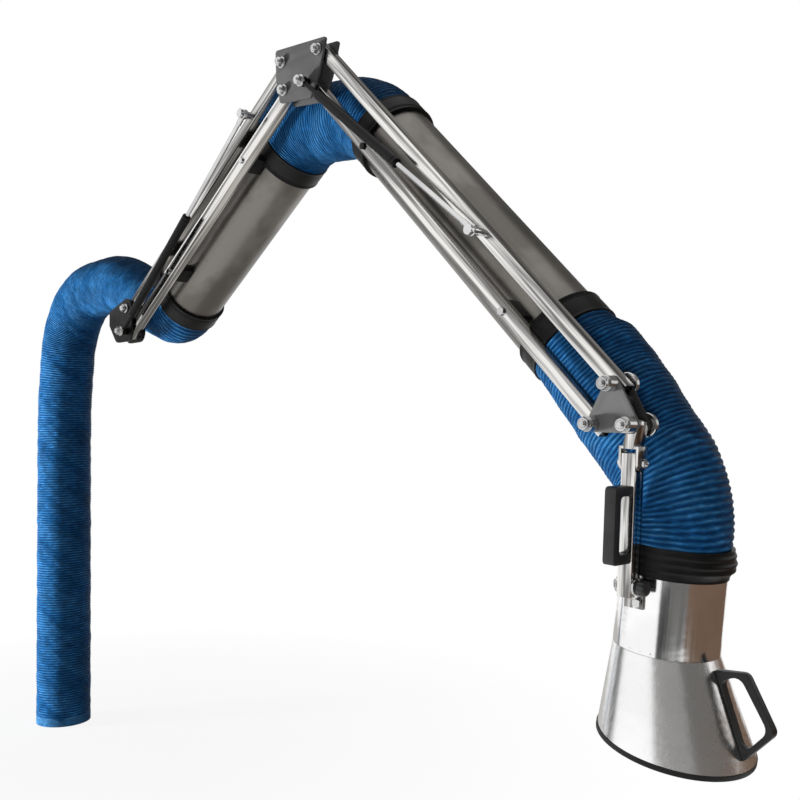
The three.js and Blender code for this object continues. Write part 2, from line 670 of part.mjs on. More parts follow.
// The hanging hose at the base: back from duct 1, up to a level top, then over and down to its open end.
function baseHose() {
  const heading = 180 + ARM1_RISE_ANGLE;
  const start = outOf(baseLower, -ARM1_RISE_ANGLE, point(DUCT1_START - GAP, DUCT1_LIFT));
  const legs = route(start, heading, [
    { run: BASE_HOSE_CLEAR },
    { radius: BASE_HOSE_FIRST_BEND, turn: BASE_HOSE_CLIMB_ANGLE - heading },
    { run: BASE_HOSE_CLIMB },
    { radius: BASE_HOSE_TOP_BEND, turn: 180 - BASE_HOSE_CLIMB_ANGLE },
    { run: BASE_HOSE_LEVEL },
    { radius: BASE_HOSE_TOP_BEND, turn: 90 - BASE_HOSE_LEAN },
    { radius: BASE_HOSE_SLOW_BEND, turn: BASE_HOSE_LEAN },
    { run: BASE_HOSE_HANG },
  ]);
  add(arm, 'base_hose', ribbedHose(legs, BASE_HOSE_RIBS, 0, DUCT_SIDE, DUCT_SIDE), blueHose());
}

function elbowHose() {
  const start = outOf(baseLower, -ARM1_RISE_ANGLE, point(DUCT1_END + GAP, DUCT1_LIFT));
  const end = outOf(elbow2Lower, ARM2_FALL_ANGLE, point(DUCT2_START - GAP, DUCT2_LIFT));
  const legs = twoBends(start, ARM1_RISE_ANGLE, end, -ARM2_FALL_ANGLE, ELBOW_HOSE_BEND);
  add(arm, 'elbow_hose', ribbedHose(legs, ELBOW_HOSE_RIBS, 0, DUCT_SIDE, DUCT_SIDE), blueHose());
}

function hoodHose() {
  const start = outOf(elbow2Lower, ARM2_FALL_ANGLE, point(DUCT2_END + GAP, DUCT2_LIFT));
  const end = outOf(hoodOrigin, hoodLean, point(0, NECK_RISE + GAP));
  const legs = twoBends(start, -ARM2_FALL_ANGLE, end, -90 - hoodLean, HOOD_HOSE_BEND);
  add(arm, 'hood_hose', ribbedHose(legs, HOOD_HOSE_RIBS, HOOD_HOSE_SWELL, DUCT_SIDE, HOOD_SIDE), blueHose());
}

// The two limits of an ear on one side of the hanger tube.
function earLimits(side, sheet) {
  const inner = BAR / 2 + SLIDE_CLEARANCE;
  const limits = [side * inner, side * (inner + sheet)].map((x) => HANGER_SHIFT + x);
  return limits.sort((a, b) => a - b);
}

// Yoke that hangs on the wrist pivot, with two ears for the hanger's cross bolt.
function hangerYoke(group) {
  const wide = BAR / 2 + BUSH_PROUD;
  const top = -YOKE_WEB_DROP;
  const strap = plateAcrossY(outlineRound([
    rounded(point(HANGER_SHIFT, top), BUSH_DIAMETER / 2),
    rounded(point(0, 0), BUSH_DIAMETER / 2),
  ]), -wide, wide);
  const [left] = earLimits(-1, YOKE_SHEET);
  const right = earLimits(1, YOKE_SHEET)[1];
  const web = block(left, right, -YOKE_EAR_RADIUS, YOKE_EAR_RADIUS, top - YOKE_SHEET, top);
  const ears = [-1, 1].map((side) => {
    const [x0, x1] = earLimits(side, YOKE_SHEET);
    const flat = block(x0, x1, -YOKE_EAR_RADIUS, YOKE_EAR_RADIUS, -HANGER_BOLT_DROP, top - 1);
    return join(flat, barAlongX(x0, x1, 0, -HANGER_BOLT_DROP, 2 * YOKE_EAR_RADIUS, ROUND_SIDES));
  });
  const below = block(left - BAR, right + BAR, -BAR, BAR, -HANGER_END_DROP, top - YOKE_SHEET);
  const pivot = barAlongY(point(0, 0), -wide - 1, wide + 1, PIN_BORE);
  const cross = barAlongX(left - 1, right + 1, 0, -HANGER_BOLT_DROP, CROSS_BORE);
  add(group, 'hanger_yoke', cut(join(cut(strap, below), web, ...ears), pivot, cross), greyPlate());
}

// Cross bolt of the hanger, with its head on the -X side, and the nut on its tip.
function hangerBolt(group) {
  const left = earLimits(-1, YOKE_SHEET)[0] - GAP;
  const right = earLimits(1, YOKE_SHEET)[1] + GAP;
  const z = -HANGER_BOLT_DROP;
  const tip = right + CROSS_HEAD_HEIGHT + CROSS_BOLT_TIP;
  const head = hexAlongX(left - CROSS_HEAD_HEIGHT, left, 0, z, CROSS_HEAD_ACROSS);
  const shank = barAlongX(left - 1, tip, 0, z, CROSS_BOLT_DIAMETER);
  const nut = hexAlongX(right, right + CROSS_HEAD_HEIGHT, 0, z, CROSS_HEAD_ACROSS);
  add(group, 'hanger_bolt', join(head, shank), brightSteel());
  add(group, 'hanger_nut', cut(nut, barAlongX(right - 1, tip, 0, z, CROSS_BORE)), brightSteel());
}

// Square tube of the hanger, open at both ends. Its lower rear edge is cut back to let the hood tilt.
function hangerTube(group) {
  const half = BAR / 2;
  const inside = half - BAR_WALL;
  const x = HANGER_SHIFT;
  const outer = block(x - half, x + half, -half, half, -HANGER_END_DROP, -HANGER_TOP_DROP);
  const inner = block(x - inside, x + inside, -inside, inside, -HANGER_END_DROP - 1, -HANGER_TOP_DROP + 1);
  const relief = block(x - BAR, x + BAR, 0, BAR, -HANGER_END_DROP - 1, -HOOD_BOLT_DROP - HOOD_TILT_RELIEF);
  const bores = [HANGER_BOLT_DROP, HOOD_BOLT_DROP].map((drop) => {
    return barAlongX(x - half - 1, x + half + 1, 0, -drop, CROSS_BORE);
  });
  add(group, 'hanger_tube', cut(outer, inner, relief, ...bores), polishedSteel());
}

// Bridge-shaped grip on the front of the hanger tube.
function hangerGrip(group) {
  const top = -GRIP_TOP_DROP;
  const bottom = top - GRIP_HEIGHT;
  const seat = -BAR / 2 - GAP;
  const front = seat - GRIP_STANDOFF;
  const bridge = (reach, low, high) => outlineRound([
    rounded(point(reach + GRIP_CORNER, low + GRIP_CORNER), GRIP_CORNER),
    rounded(point(seat - 1, low + 1), 1),
    rounded(point(seat - 1, high - 1), 1),
    rounded(point(reach + GRIP_CORNER, high - GRIP_CORNER), GRIP_CORNER),
  ]);
  const x0 = HANGER_SHIFT - GRIP_WIDTH / 2;
  const x1 = HANGER_SHIFT + GRIP_WIDTH / 2;
  const outer = plateAcrossX(bridge(front, bottom, top), x0, x1);
  const gap = bridge(front + GRIP_THICKNESS, bottom + GRIP_THICKNESS, top - GRIP_THICKNESS);
  const behind = block(x0 - 1, x1 + 1, seat - 3, seat + 1, bottom + GRIP_THICKNESS, top - GRIP_THICKNESS);
  add(group, 'hanger_grip', cut(outer, plateAcrossX(gap, x0 - 1, x1 + 1), behind), blackPlastic());
}

// Bracket on the neck of the hood: two ears on the hood bolt, and a web screwed to the neck.
function hoodBracket(group) {
  const rear = BRACKET_FRONT + BRACKET_SHEET;
  const z = -HOOD_BOLT_DROP;
  const [left] = earLimits(-1, BRACKET_SHEET);
  const right = earLimits(1, BRACKET_SHEET)[1];
  const web = block(left, right, BRACKET_FRONT, rear, z - BRACKET_DROP, z + BRACKET_RISE);
  const ears = [-1, 1].map((side) => {
    const [x0, x1] = earLimits(side, BRACKET_SHEET);
    const flat = block(x0, x1, 0, rear, z - BRACKET_EAR_RADIUS, z + BRACKET_RISE);
    return join(flat, barAlongX(x0, x1, 0, z, 2 * BRACKET_EAR_RADIUS, ROUND_SIDES));
  });
  const cross = barAlongX(left - 1, right + 1, 0, z, CROSS_BORE);
  const screw = barAlongY(screwPlace(), BRACKET_FRONT - 1, rear + 1, SCREW_BORE);
  add(group, 'hood_bracket', cut(join(web, ...ears), cross, screw), greyPlate());
}

function screwPlace() {
  return point(HANGER_SHIFT + BRACKET_SCREW_SHIFT, -HOOD_BOLT_DROP - BRACKET_SCREW_DROP);
}

// Screw that holds the bracket to the neck, with its head in front.
function bracketScrew(group) {
  const seat = BRACKET_FRONT - GAP;
  const tip = HOOD_SIDE - NECK_DIAMETER / 2 + HOOD_WALL + BRACKET_SCREW_TIP;
  const head = hexAlongY(screwPlace(), seat - CROSS_HEAD_HEIGHT, seat, CROSS_HEAD_ACROSS);
  const shank = barAlongY(screwPlace(), seat - 1, tip, BRACKET_SCREW_DIAMETER);
  add(group, 'hood_bracket_screw', join(head, shank), brightSteel());
}

// Hood bolt, with its head on the -X side, and the clamping knob on its other end.
function hoodBolt(group) {
  const left = earLimits(-1, BRACKET_SHEET)[0] - GAP;
  const right = earLimits(1, BRACKET_SHEET)[1] + GAP;
  const z = -HOOD_BOLT_DROP;
  const tip = right + KNOB_BORE_DEPTH - 1;
  const head = hexAlongX(left - CROSS_HEAD_HEIGHT, left, 0, z, CROSS_HEAD_ACROSS);
  const shank = barAlongX(left - 1, tip, 0, z, CROSS_BOLT_DIAMETER);
  const knob = barAlongX(right, right + KNOB_LENGTH, 0, z, KNOB_DIAMETER, ROUND_SIDES);
  const bore = barAlongX(right - 1, right + KNOB_BORE_DEPTH, 0, z, CROSS_BORE);
  add(group, 'hood_bolt', join(head, shank), brightSteel());
  add(group, 'hood_knob', cut(knob, bore), blackPlastic());
}

function hoodNeck(group) {
  const outer = NECK_DIAMETER / 2;
  const inner = outer - HOOD_WALL;
  const profile = [[-NECK_RISE, outer], [NECK_DROP, outer], [NECK_DROP, inner], [-NECK_RISE, inner]];
  const place = into(hoodPlace, HOOD_EXTRA_LEAN, screwPlace());
  const hole = barAlongY(place, -NECK_DIAMETER, -NECK_DIAMETER / 4, SCREW_BORE);
  add(group, 'hood_neck', cut(sleeveDownZ(profile), hole), polishedSteel());
  add(group, 'hood_cuff', sleeveDownZ(cuffProfile(-NECK_RISE, -1, NECK_DIAMETER)), blackRubber());
}

// A ring in the tilted plane of the hood's mouth, at a depth below the cone's edge.
function mouthRing(radius, depth) {
  const tilt = radians(MOUTH_TILT);
  const across = new THREE.Vector3(Math.cos(tilt), 0, -Math.sin(tilt));
  const outward = new THREE.Vector3(-Math.sin(tilt), 0, -Math.cos(tilt));
  const centre = new THREE.Vector3(CONE_SHIFT, 0, -NECK_DROP - CONE_HEIGHT).addScaledVector(outward, depth);
  return ring(centre, across, Y_AXIS.clone().negate(), radius, ROUND_SIDES);
}

// Slanted cone, whose collar fits inside the neck, and the rim under its edge.
function hoodCone(group) {
  const collar = NECK_DIAMETER / 2 - HOOD_WALL - GAP;
  const level = (drop, radius) => {
    return ring(new THREE.Vector3(0, 0, -drop), X_AXIS, Y_AXIS.clone().negate(), radius, ROUND_SIDES);
  };
  const shoulder = NECK_DROP + GAP;
  add(group, 'hood_cone', ringSolid([
    level(NECK_DROP - COLLAR, collar),
    level(shoulder, collar),
    level(shoulder, NECK_DIAMETER / 2),
    mouthRing(MOUTH_DIAMETER / 2, 0),
    mouthRing(MOUTH_DIAMETER / 2 - HOOD_WALL, 0),
    level(shoulder + HOOD_WALL, collar - HOOD_WALL),
    level(NECK_DROP - COLLAR, collar - HOOD_WALL),
  ]), polishedSteel());
  const outer = MOUTH_DIAMETER / 2 + RIM_PROUD;
  const inner = outer - RIM_THICKNESS;
  add(group, 'hood_rim', ringSolid([
    mouthRing(outer, GAP),
    mouthRing(outer, GAP + RIM_HEIGHT),
    mouthRing(inner, GAP + RIM_HEIGHT),
    mouthRing(inner, GAP),
  ]), blackRubber());
}

// D-shaped handle on the cone, along its edge line on the +X side.
function hoodHandle(group) {
  const tilt = radians(MOUTH_TILT);
  const upper = point(NECK_DIAMETER / 2, -NECK_DROP - GAP);
  const lower = point(CONE_SHIFT + (MOUTH_DIAMETER / 2) * Math.cos(tilt),
    -NECK_DROP - CONE_HEIGHT - (MOUTH_DIAMETER / 2) * Math.sin(tilt));
  const run = lower.clone().sub(upper);
  const edge = slantedGroup(group, upper, 0, degrees(Math.atan2(-run.x, -run.y)));
  const end = -HANDLE_START - HANDLE_LENGTH;
  const loop = (base, inset, corner, foot) => outlineRound([
    rounded(point(base + foot, end + foot + inset * 1.6), foot),
    rounded(point(HANDLE_DEPTH - inset - corner, end + HANDLE_END_SLOPE + inset / 3 + corner), corner),
    rounded(point(HANDLE_DEPTH - HANDLE_FLARE - inset - corner,
      -HANDLE_START - HANDLE_TOP_SLOPE - inset / 2 - corner), corner),
    rounded(point(base + foot, -HANDLE_START - foot - inset * 1.6), foot),
  ]);
  const outline = loop(GAP, 0, HANDLE_CORNER, HANDLE_BASE / 2);
  const hole = loop(HANDLE_BASE + GAP, HANDLE_BAND, HANDLE_HOLE_CORNER, HANDLE_HOLE_FOOT);
  const half = HANDLE_WIDTH / 2;
  add(edge, 'hood_handle', plateAcrossY(outline, -half, half, [hole]), blackPlastic());
}

function hanger() {
  const group = slantedGroup(arm, wristHanger, 0, HANGER_LEAN);
  hangerYoke(group);
  hangerBolt(group);
  hangerTube(group);
  hangerGrip(group);
  hoodBracket(group);
  bracketScrew(group);
  hoodBolt(group);
  const hood = slantedGroup(group, hoodPlace, HOOD_SIDE, HOOD_EXTRA_LEAN);
  hoodNeck(hood);
  hoodCone(hood);
  hoodHandle(hood);
}

baseBracket();
elbowPlates();
wristPlates();
pivotBolts();
armPieces(1, baseLower, baseUpper, -ARM1_RISE_ANGLE, ARM1_LENGTH, [DUCT1_START, DUCT1_END], DUCT1_LIFT,
  DUCT1_SADDLES);
armPieces(2, elbow2Lower, elbow2Upper, ARM2_FALL_ANGLE, ARM2_LENGTH, [DUCT2_START, DUCT2_END], DUCT2_LIFT,
  DUCT2_SADDLES);
struts();
baseHose();
elbowHose();
hanger();
hoodHose();

export default arm;
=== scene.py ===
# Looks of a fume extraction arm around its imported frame. Metres, +Z up.
# The linkage lies in the XZ plane at Y = 0, and the ducts and hoses beside it at +Y.
import json
import math

import bmesh
import bpy
import numpy as np
from mathutils import Matrix, Vector

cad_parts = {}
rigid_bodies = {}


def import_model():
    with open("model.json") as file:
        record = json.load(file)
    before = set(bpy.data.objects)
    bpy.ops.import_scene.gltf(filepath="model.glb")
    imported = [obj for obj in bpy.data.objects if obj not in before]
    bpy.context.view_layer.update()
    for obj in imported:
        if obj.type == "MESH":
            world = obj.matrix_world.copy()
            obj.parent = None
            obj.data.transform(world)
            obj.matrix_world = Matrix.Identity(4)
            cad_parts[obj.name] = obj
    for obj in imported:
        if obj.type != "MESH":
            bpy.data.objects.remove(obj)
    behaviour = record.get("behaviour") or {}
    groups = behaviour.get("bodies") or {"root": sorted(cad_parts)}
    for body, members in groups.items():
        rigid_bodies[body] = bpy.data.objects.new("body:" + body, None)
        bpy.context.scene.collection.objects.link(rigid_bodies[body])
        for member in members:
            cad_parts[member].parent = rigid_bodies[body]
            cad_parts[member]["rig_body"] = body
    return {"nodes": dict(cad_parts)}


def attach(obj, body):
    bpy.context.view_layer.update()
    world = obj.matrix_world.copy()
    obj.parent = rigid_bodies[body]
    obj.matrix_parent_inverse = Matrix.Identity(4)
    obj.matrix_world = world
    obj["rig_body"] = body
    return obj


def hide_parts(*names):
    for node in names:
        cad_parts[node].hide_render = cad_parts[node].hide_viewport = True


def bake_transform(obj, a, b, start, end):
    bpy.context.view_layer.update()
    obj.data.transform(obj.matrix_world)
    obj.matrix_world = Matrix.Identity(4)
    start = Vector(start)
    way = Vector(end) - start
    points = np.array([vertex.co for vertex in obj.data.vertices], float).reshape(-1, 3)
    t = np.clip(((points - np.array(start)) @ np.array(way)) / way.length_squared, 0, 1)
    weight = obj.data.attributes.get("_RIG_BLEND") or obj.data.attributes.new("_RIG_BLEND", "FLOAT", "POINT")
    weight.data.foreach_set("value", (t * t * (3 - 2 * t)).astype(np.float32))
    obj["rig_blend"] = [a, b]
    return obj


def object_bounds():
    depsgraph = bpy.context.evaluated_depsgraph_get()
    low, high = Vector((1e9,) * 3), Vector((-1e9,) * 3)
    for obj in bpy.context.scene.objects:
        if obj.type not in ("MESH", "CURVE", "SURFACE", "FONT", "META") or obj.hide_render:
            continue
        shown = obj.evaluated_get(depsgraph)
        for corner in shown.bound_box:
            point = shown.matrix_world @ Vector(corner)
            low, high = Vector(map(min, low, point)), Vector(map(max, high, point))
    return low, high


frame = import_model()
cad_low, cad_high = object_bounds()
nodes = frame["nodes"]

# Camera of the photograph
CAMERA_PLACE = (2.50732, -1.27633, -0.32165)
CAMERA_YAW = 46.63
CAMERA_PITCH = -1.91
CAMERA_ROLL = -0.49
CAMERA_LENS = 43.47
CAMERA_SENSOR = 36.0

# Clearances and the square tube
GAP = 0.0003
BAR = 0.025
BAR_WALL = 0.002
BAR_CORNER = 0.0022
BAR_END = 0.017
BUSH_RADIUS = 0.009
BUSH_PROUD = 0.0022
PIN_BORE_RADIUS = 0.0063

# Pivots in the XZ plane and the slopes of the arms
BASE_UPPER = (0.097, 0.021)
BASE_LOWER = (0.1032, -0.0424)
ARM1_LENGTH = 0.855
ARM1_RISE = 33.4
ARM2_LENGTH = 1.025
ARM2_RISE = -45.7
ELBOW_STEP = (0.1254, -0.0077)
ARM2_PIVOT_STEP = (-0.0356, -0.0613)
WRIST_STEP = (0.0327, -0.0638)

# Pivot bolts
PLATE_OUTER = 0.020
BOLT_RADIUS = 0.006
BOLT_TIP = 0.005
THREAD_PITCH = 0.00175
THREAD_DEPTH = 0.0009
HEAD_ACROSS = 0.019
HEAD_HEIGHT = 0.0075
NUT_HEIGHT = 0.009
WASHER_RADIUS = 0.0125
WASHER_HEIGHT = 0.004
SPACER_HEIGHT = 0.019
STRUT_EYE_WIDTH = 0.010
DISC_RADIUS = 0.019
DISC_HEIGHT = 0.008

# Gas struts
STRUT_STANDOFF = 0.008
STRUT_SIDE = -0.0333
STRUT_EYE_RADIUS = 0.011
STRUT_NECK = 0.062
STRUT_BARREL_RADIUS = 0.0105
STRUT_ROD_RADIUS = 0.005
STRUT_ROD_INSERT = 0.060
STRUT1_STUD = 0.700
STRUT1_BARREL_END = 0.420
STRUT2_STUD = 0.635
STRUT2_BARREL_END = 0.373
STUD_RADIUS = 0.008

# Nuts of the duct brackets on the lower bars, by their places along the bar
SADDLE_NUT_ACROSS = 0.0134
SADDLE_NUT_HEIGHT = 0.0043
ARM1_NUTS = (0.250, 0.644)
ARM2_NUTS = (0.752,)

# Ducts and cuffs
DUCT_RADIUS = 0.080
DUCT_WALL = 0.0012
DUCT_SIDE = 0.121
DUCT1_LIFT = 0.020
DUCT1_SPAN = (0.128, 0.677)
DUCT2_LIFT = 0.0007
DUCT2_SPAN = (0.162, 0.809)
CUFF_REACH = 0.024
CUFF_RADIUS = 0.0883
CUFF_BEAD = 0.0013
CUFF_GROOVE = 0.0010
HOOD_CUFF_FOOT = 0.0855
HOOD_CUFF_BELLY = 0.0935
HOOD_CUFF_TOP = 0.0900
HOOD_CUFF_FRONT = 0.0875
HOOD_CUFF_RIDGE = 0.0018

# Hoses
HOSE_RADIUS = 0.085
HOSE_WALL = 0.0045
RIB_PITCH = 0.0078
RIB_DEPTH = 0.0021
RINGS_PER_RIB = 6
HOSE_SIDES = 72
BASE_HOSE_CLEAR = 0.025
BASE_HOSE_FIRST_BEND = 0.086
BASE_HOSE_CLIMB_ANGLE = 158
BASE_HOSE_CLIMB = 0.265
BASE_HOSE_TOP_BEND = 0.230
BASE_HOSE_LEVEL = 0.111
BASE_HOSE_LEAN = 12
BASE_HOSE_SLOW_BEND = 1.400
BASE_HOSE_HANG = 0.925
BASE_HOSE_HEM = 0.030
BASE_HOSE_BLEND_END = 0.33
ELBOW_HOSE_BEND = 0.185
HOOD_HOSE_BEND = 0.170
HOOD_HOSE_SHIFT_START = 0.6
HOOD_HOSE_SWELL = 0.004
HOOD_HOSE_SIDE_SWELL = 0.002
HOOD_HOSE_BULGE = 0.014

# Hanger and hood
HANGER_RISE = -3.6
HANGER_SHIFT = -0.007
HANGER_TOP_DROP = 0.044
HANGER_BOLT_DROP = 0.059
HANGER_END_DROP = 0.264
HOOD_BOLT_DROP = 0.247
HOOD_TILT_RELIEF = 0.009
YOKE_SHEET = 0.004
BRACKET_SHEET = 0.0035
SLIDE_CLEARANCE = 0.0008
CROSS_BOLT_RADIUS = 0.004
CROSS_HEAD_ACROSS = 0.013
CROSS_HEAD_HEIGHT = 0.006
CROSS_BOLT_TIP = 0.004
KNOB_RADIUS = 0.0125
KNOB_LENGTH = 0.017
HOOD_EXTRA_LEAN = 3.8
HOOD_SHIFT = 0.0145
HOOD_SIDE = 0.1039
HOOD_WALL = 0.0015
NECK_RADIUS = 0.0839
NECK_RISE = 0.038
NECK_DROP = 0.107
COLLAR = 0.012
CONE_HEIGHT = 0.139
CONE_SHIFT = 0.032
MOUTH_RADIUS = 0.123
MOUTH_TILT = 4.2
SPOT_WELDS = (-171, -182, -194)
SPOT_WELD_RISE = 0.0045
SPOT_WELD_RADIUS = 0.0022
RIM_HEIGHT = 0.009
RIM_THICKNESS = 0.006
RIM_PROUD = 0.0016

ROUND_SIDES = 96
PIN_SIDES = 48


# Places

def turned(place, rise):
    c, s = math.cos(math.radians(rise)), math.sin(math.radians(rise))
    return (place[0] * c - place[1] * s, place[0] * s + place[1] * c)


def plus(place, step):
    return (place[0] + step[0], place[1] + step[1])


def ahead(place, rise, distance):
    return plus(place, turned((distance, 0), rise))


# A frame with its X axis in the XZ plane at an angle above the world's, and its Y axis along the world's.
def slanted(place, side, rise):
    return Matrix.Translation((place[0], side, place[1])) @ Matrix.Rotation(-math.radians(rise), 4, "Y")


# A frame with its X axis along +Y, for bolts across the plates.
def across(place, side=0.0):
    return Matrix.Translation((place[0], side, place[1])) @ Matrix.Rotation(math.radians(90), 4, "Z")


ELBOW1_UPPER = ahead(BASE_UPPER, ARM1_RISE, ARM1_LENGTH)
ELBOW1_LOWER = ahead(BASE_LOWER, ARM1_RISE, ARM1_LENGTH)
ELBOW2_UPPER = plus(ELBOW1_UPPER, ELBOW_STEP)
ELBOW2_LOWER = plus(ELBOW2_UPPER, ARM2_PIVOT_STEP)
WRIST_UPPER = ahead(ELBOW2_UPPER, ARM2_RISE, ARM2_LENGTH)
WRIST_LOWER = ahead(ELBOW2_LOWER, ARM2_RISE, ARM2_LENGTH)
WRIST_HANGER = plus(WRIST_UPPER, WRIST_STEP)
HANGER_FRAME = slanted(WRIST_HANGER, 0, HANGER_RISE)
HOOD_RISE = HANGER_RISE - HOOD_EXTRA_LEAN
HOOD_PLACE = plus(WRIST_HANGER, turned((HANGER_SHIFT + HOOD_SHIFT, -HOOD_BOLT_DROP), HANGER_RISE))
HOOD_FRAME = slanted(HOOD_PLACE, HOOD_SIDE, HOOD_RISE)
DOWN = Matrix.Rotation(math.radians(90), 4, "Y")


# Materials

def blank(name):
    material = bpy.data.materials.new(name)
    material.use_nodes = True
    return material, material.node_tree, material.node_tree.nodes["Principled BSDF"]


# Coordinates of a piece, turned so that X runs along it, then stretched.
def coordinates(tree, rise, stretch):
    place = tree.nodes.new("ShaderNodeTexCoord")
    turn = tree.nodes.new("ShaderNodeMapping")
    turn.inputs["Rotation"].default_value = (0, math.radians(rise), 0)
    scale = tree.nodes.new("ShaderNodeMapping")
    scale.inputs["Scale"].default_value = stretch
    tree.links.new(place.outputs["Object"], turn.inputs["Vector"])
    tree.links.new(turn.outputs["Vector"], scale.inputs["Vector"])
    return scale.outputs["Vector"]


def noise(tree, vector, scale, detail=4.0, rough=0.55):
    node = tree.nodes.new("ShaderNodeTexNoise")
    node.inputs["Scale"].default_value = scale
    node.inputs["Detail"].default_value = detail
    node.inputs["Roughness"].default_value = rough
    tree.links.new(vector, node.inputs["Vector"])
    return node.outputs["Fac"]


def ramp(tree, value, stops):
    node = tree.nodes.new("ShaderNodeValToRGB")
    while len(node.color_ramp.elements) < len(stops):
        node.color_ramp.elements.new(0.5)
    for element, (place, colour) in zip(node.color_ramp.elements, stops):
        element.position = place
        element.color = (*colour, 1) if isinstance(colour, tuple) else (colour, colour, colour, 1)
    tree.links.new(value, node.inputs["Fac"])
    return node.outputs["Color"]


def bump(tree, height, strength, distance, under=None):
    node = tree.nodes.new("ShaderNodeBump")
    node.inputs["Strength"].default_value = strength
    node.inputs["Distance"].default_value = distance
    tree.links.new(height, node.inputs["Height"])
    if under is not None:
        tree.links.new(under, node.inputs["Normal"])
    return node.outputs["Normal"]


# Metal with patches of tone and streaks of roughness. Where the colours span from dark to pale and the patches are
# stretched long along the piece, as on the bars and hanger parts, the patches are painted reflection streaks.
def steel(name, rise, colours, roughness, streak, wave=0.0, patch=(6, 9, 9)):
    material, tree, shader = blank(name)
    shader.inputs["Metallic"].default_value = 1.0
    streaks = noise(tree, coordinates(tree, rise, streak), 1.0, 6.0, 0.6)
    patches = noise(tree, coordinates(tree, rise, patch), 1.0, 3.0)
    tree.links.new(ramp(tree, patches, [(0.42, colours[0]), (0.58, colours[1])]), shader.inputs["Base Color"])
    uneven = ramp(tree, streaks, [(0.25, roughness[0]), (0.75, roughness[1])])
    tree.links.new(uneven, shader.inputs["Roughness"])
    normal = bump(tree, streaks, 0.12, 0.0003)
    if wave:
        normal = bump(tree, noise(tree, coordinates(tree, rise, (5, 30, 30)), 1.0, 2.0), wave, 0.002, normal)
    tree.links.new(normal, shader.inputs["Normal"])
    return material


def painted(name, colours, roughness, grain, grain_depth, metallic=0.0, gloss=0.2):
    material, tree, shader = blank(name)
    shader.inputs["Metallic"].default_value = metallic
    shader.inputs["Specular IOR Level"].default_value = gloss
    patches = noise(tree, coordinates(tree, 0, (1, 1, 1)), 18.0, 4.0)
    fine = noise(tree, coordinates(tree, 0, (1, 1, 1)), grain, 3.0)
    tree.links.new(ramp(tree, patches, [(0.3, colours[0]), (0.7, colours[1])]), shader.inputs["Base Color"])
    tree.links.new(ramp(tree, fine, [(0.3, roughness[0]), (0.7, roughness[1])]), shader.inputs["Roughness"])
    tree.links.new(bump(tree, fine, 0.25, grain_depth), shader.inputs["Normal"])
    return material


# Noise on the unrolled cloth of a hose, from its own coordinates: two round the hose and one along it.
def cloth_noise(tree, stretch, detail=4.0, rough=0.6):
    cloth = tree.nodes.new("ShaderNodeAttribute")
    cloth.attribute_name = "cloth"
    scale = tree.nodes.new("ShaderNodeMapping")
    scale.inputs["Scale"].default_value = stretch
    tree.links.new(cloth.outputs["Vector"], scale.inputs["Vector"])
    return noise(tree, scale.outputs["Vector"], 1.0, detail, rough)


def times(tree, first, second):
    mix = tree.nodes.new("ShaderNodeMix")
    mix.data_type = "RGBA"
    mix.blend_type = "MULTIPLY"
    mix.inputs["Factor"].default_value = 1.0
    tree.links.new(first, mix.inputs["A"])
    tree.links.new(second, mix.inputs["B"])
    return mix.outputs["Result"]


# Coated blue fabric, with painted highlights on the rib crests and painted shade between the ribs, broken into short
# painted highlight and shade dashes, and with puckers that run round the hose.
def hose_look():
    material, tree, shader = blank("hose_fabric")
    rib = tree.nodes.new("ShaderNodeAttribute")
    rib.attribute_name = "rib"
    painted_rib_light_and_shade = ramp(tree, rib.outputs["Fac"], [(0.0, (0.004, 0.040, 0.130)), (0.5, (0.009, 0.078, 0.220)),
                                            (0.85, (0.018, 0.120, 0.30)), (1.0, (0.05, 0.185, 0.39))])
    patches = ramp(tree, cloth_noise(tree, (22, 22, 9), 4.0), [(0.3, 0.72), (0.7, 1.2)])
    painted_light_dashes = ramp(tree, cloth_noise(tree, (55, 55, 260), 3.0), [(0.35, 0.65), (0.55, 1.0), (0.68, 1.5)])
    tree.links.new(times(tree, times(tree, painted_rib_light_and_shade, patches), painted_light_dashes), shader.inputs["Base Color"])
    pucker = cloth_noise(tree, (60, 60, 240), 4.0)
    weave = cloth_noise(tree, (900, 900, 900), 2.0, 0.5)
    tree.links.new(ramp(tree, pucker, [(0.25, 0.42), (0.75, 0.66)]), shader.inputs["Roughness"])
    normal = bump(tree, weave, 0.12, 0.0003)
    tree.links.new(bump(tree, pucker, 0.55, 0.0018, normal), shader.inputs["Normal"])
    shader.inputs["Specular IOR Level"].default_value = 0.08
    return material


# Dark and pale bands stretched along the bars, the hanger tube, the yoke and the hood bracket: painted reflection
# streaks in the base colour of the steel.
BAR_PAINTED_REFLECTION_SHADES = ((0.2, 0.195, 0.19), (0.86, 0.85, 0.83))
BAR_LOOKS = {
    "arm_1": steel("bar_steel_painted_reflection_arm_1", ARM1_RISE, BAR_PAINTED_REFLECTION_SHADES, (0.08, 0.24), (3, 260, 260), 0.35, (2.2, 90, 90)),
    "arm_2": steel("bar_steel_painted_reflection_arm_2", ARM2_RISE, BAR_PAINTED_REFLECTION_SHADES, (0.08, 0.24), (3, 260, 260), 0.35, (2.2, 90, 90)),
    "hanger": steel("bar_steel_painted_reflection_hanger", HANGER_RISE, BAR_PAINTED_REFLECTION_SHADES, (0.08, 0.24), (260, 260, 3), 0.25, (90, 90, 5)),
}
DUCT_WARM = ((0.155, 0.146, 0.133), (0.23, 0.217, 0.2))
DUCT_LOOKS = {
    "arm_1": steel("duct_steel_arm_1", ARM1_RISE, DUCT_WARM, (0.3, 0.44), (2.5, 200, 200)),
    "arm_2": steel("duct_steel_arm_2", ARM2_RISE, DUCT_WARM, (0.3, 0.44), (2.5, 200, 200)),
}
NECK_LOOK = steel("hood_neck_steel", HOOD_RISE, (0.92, 0.99), (0.09, 0.2), (230, 230, 4), 0.2)
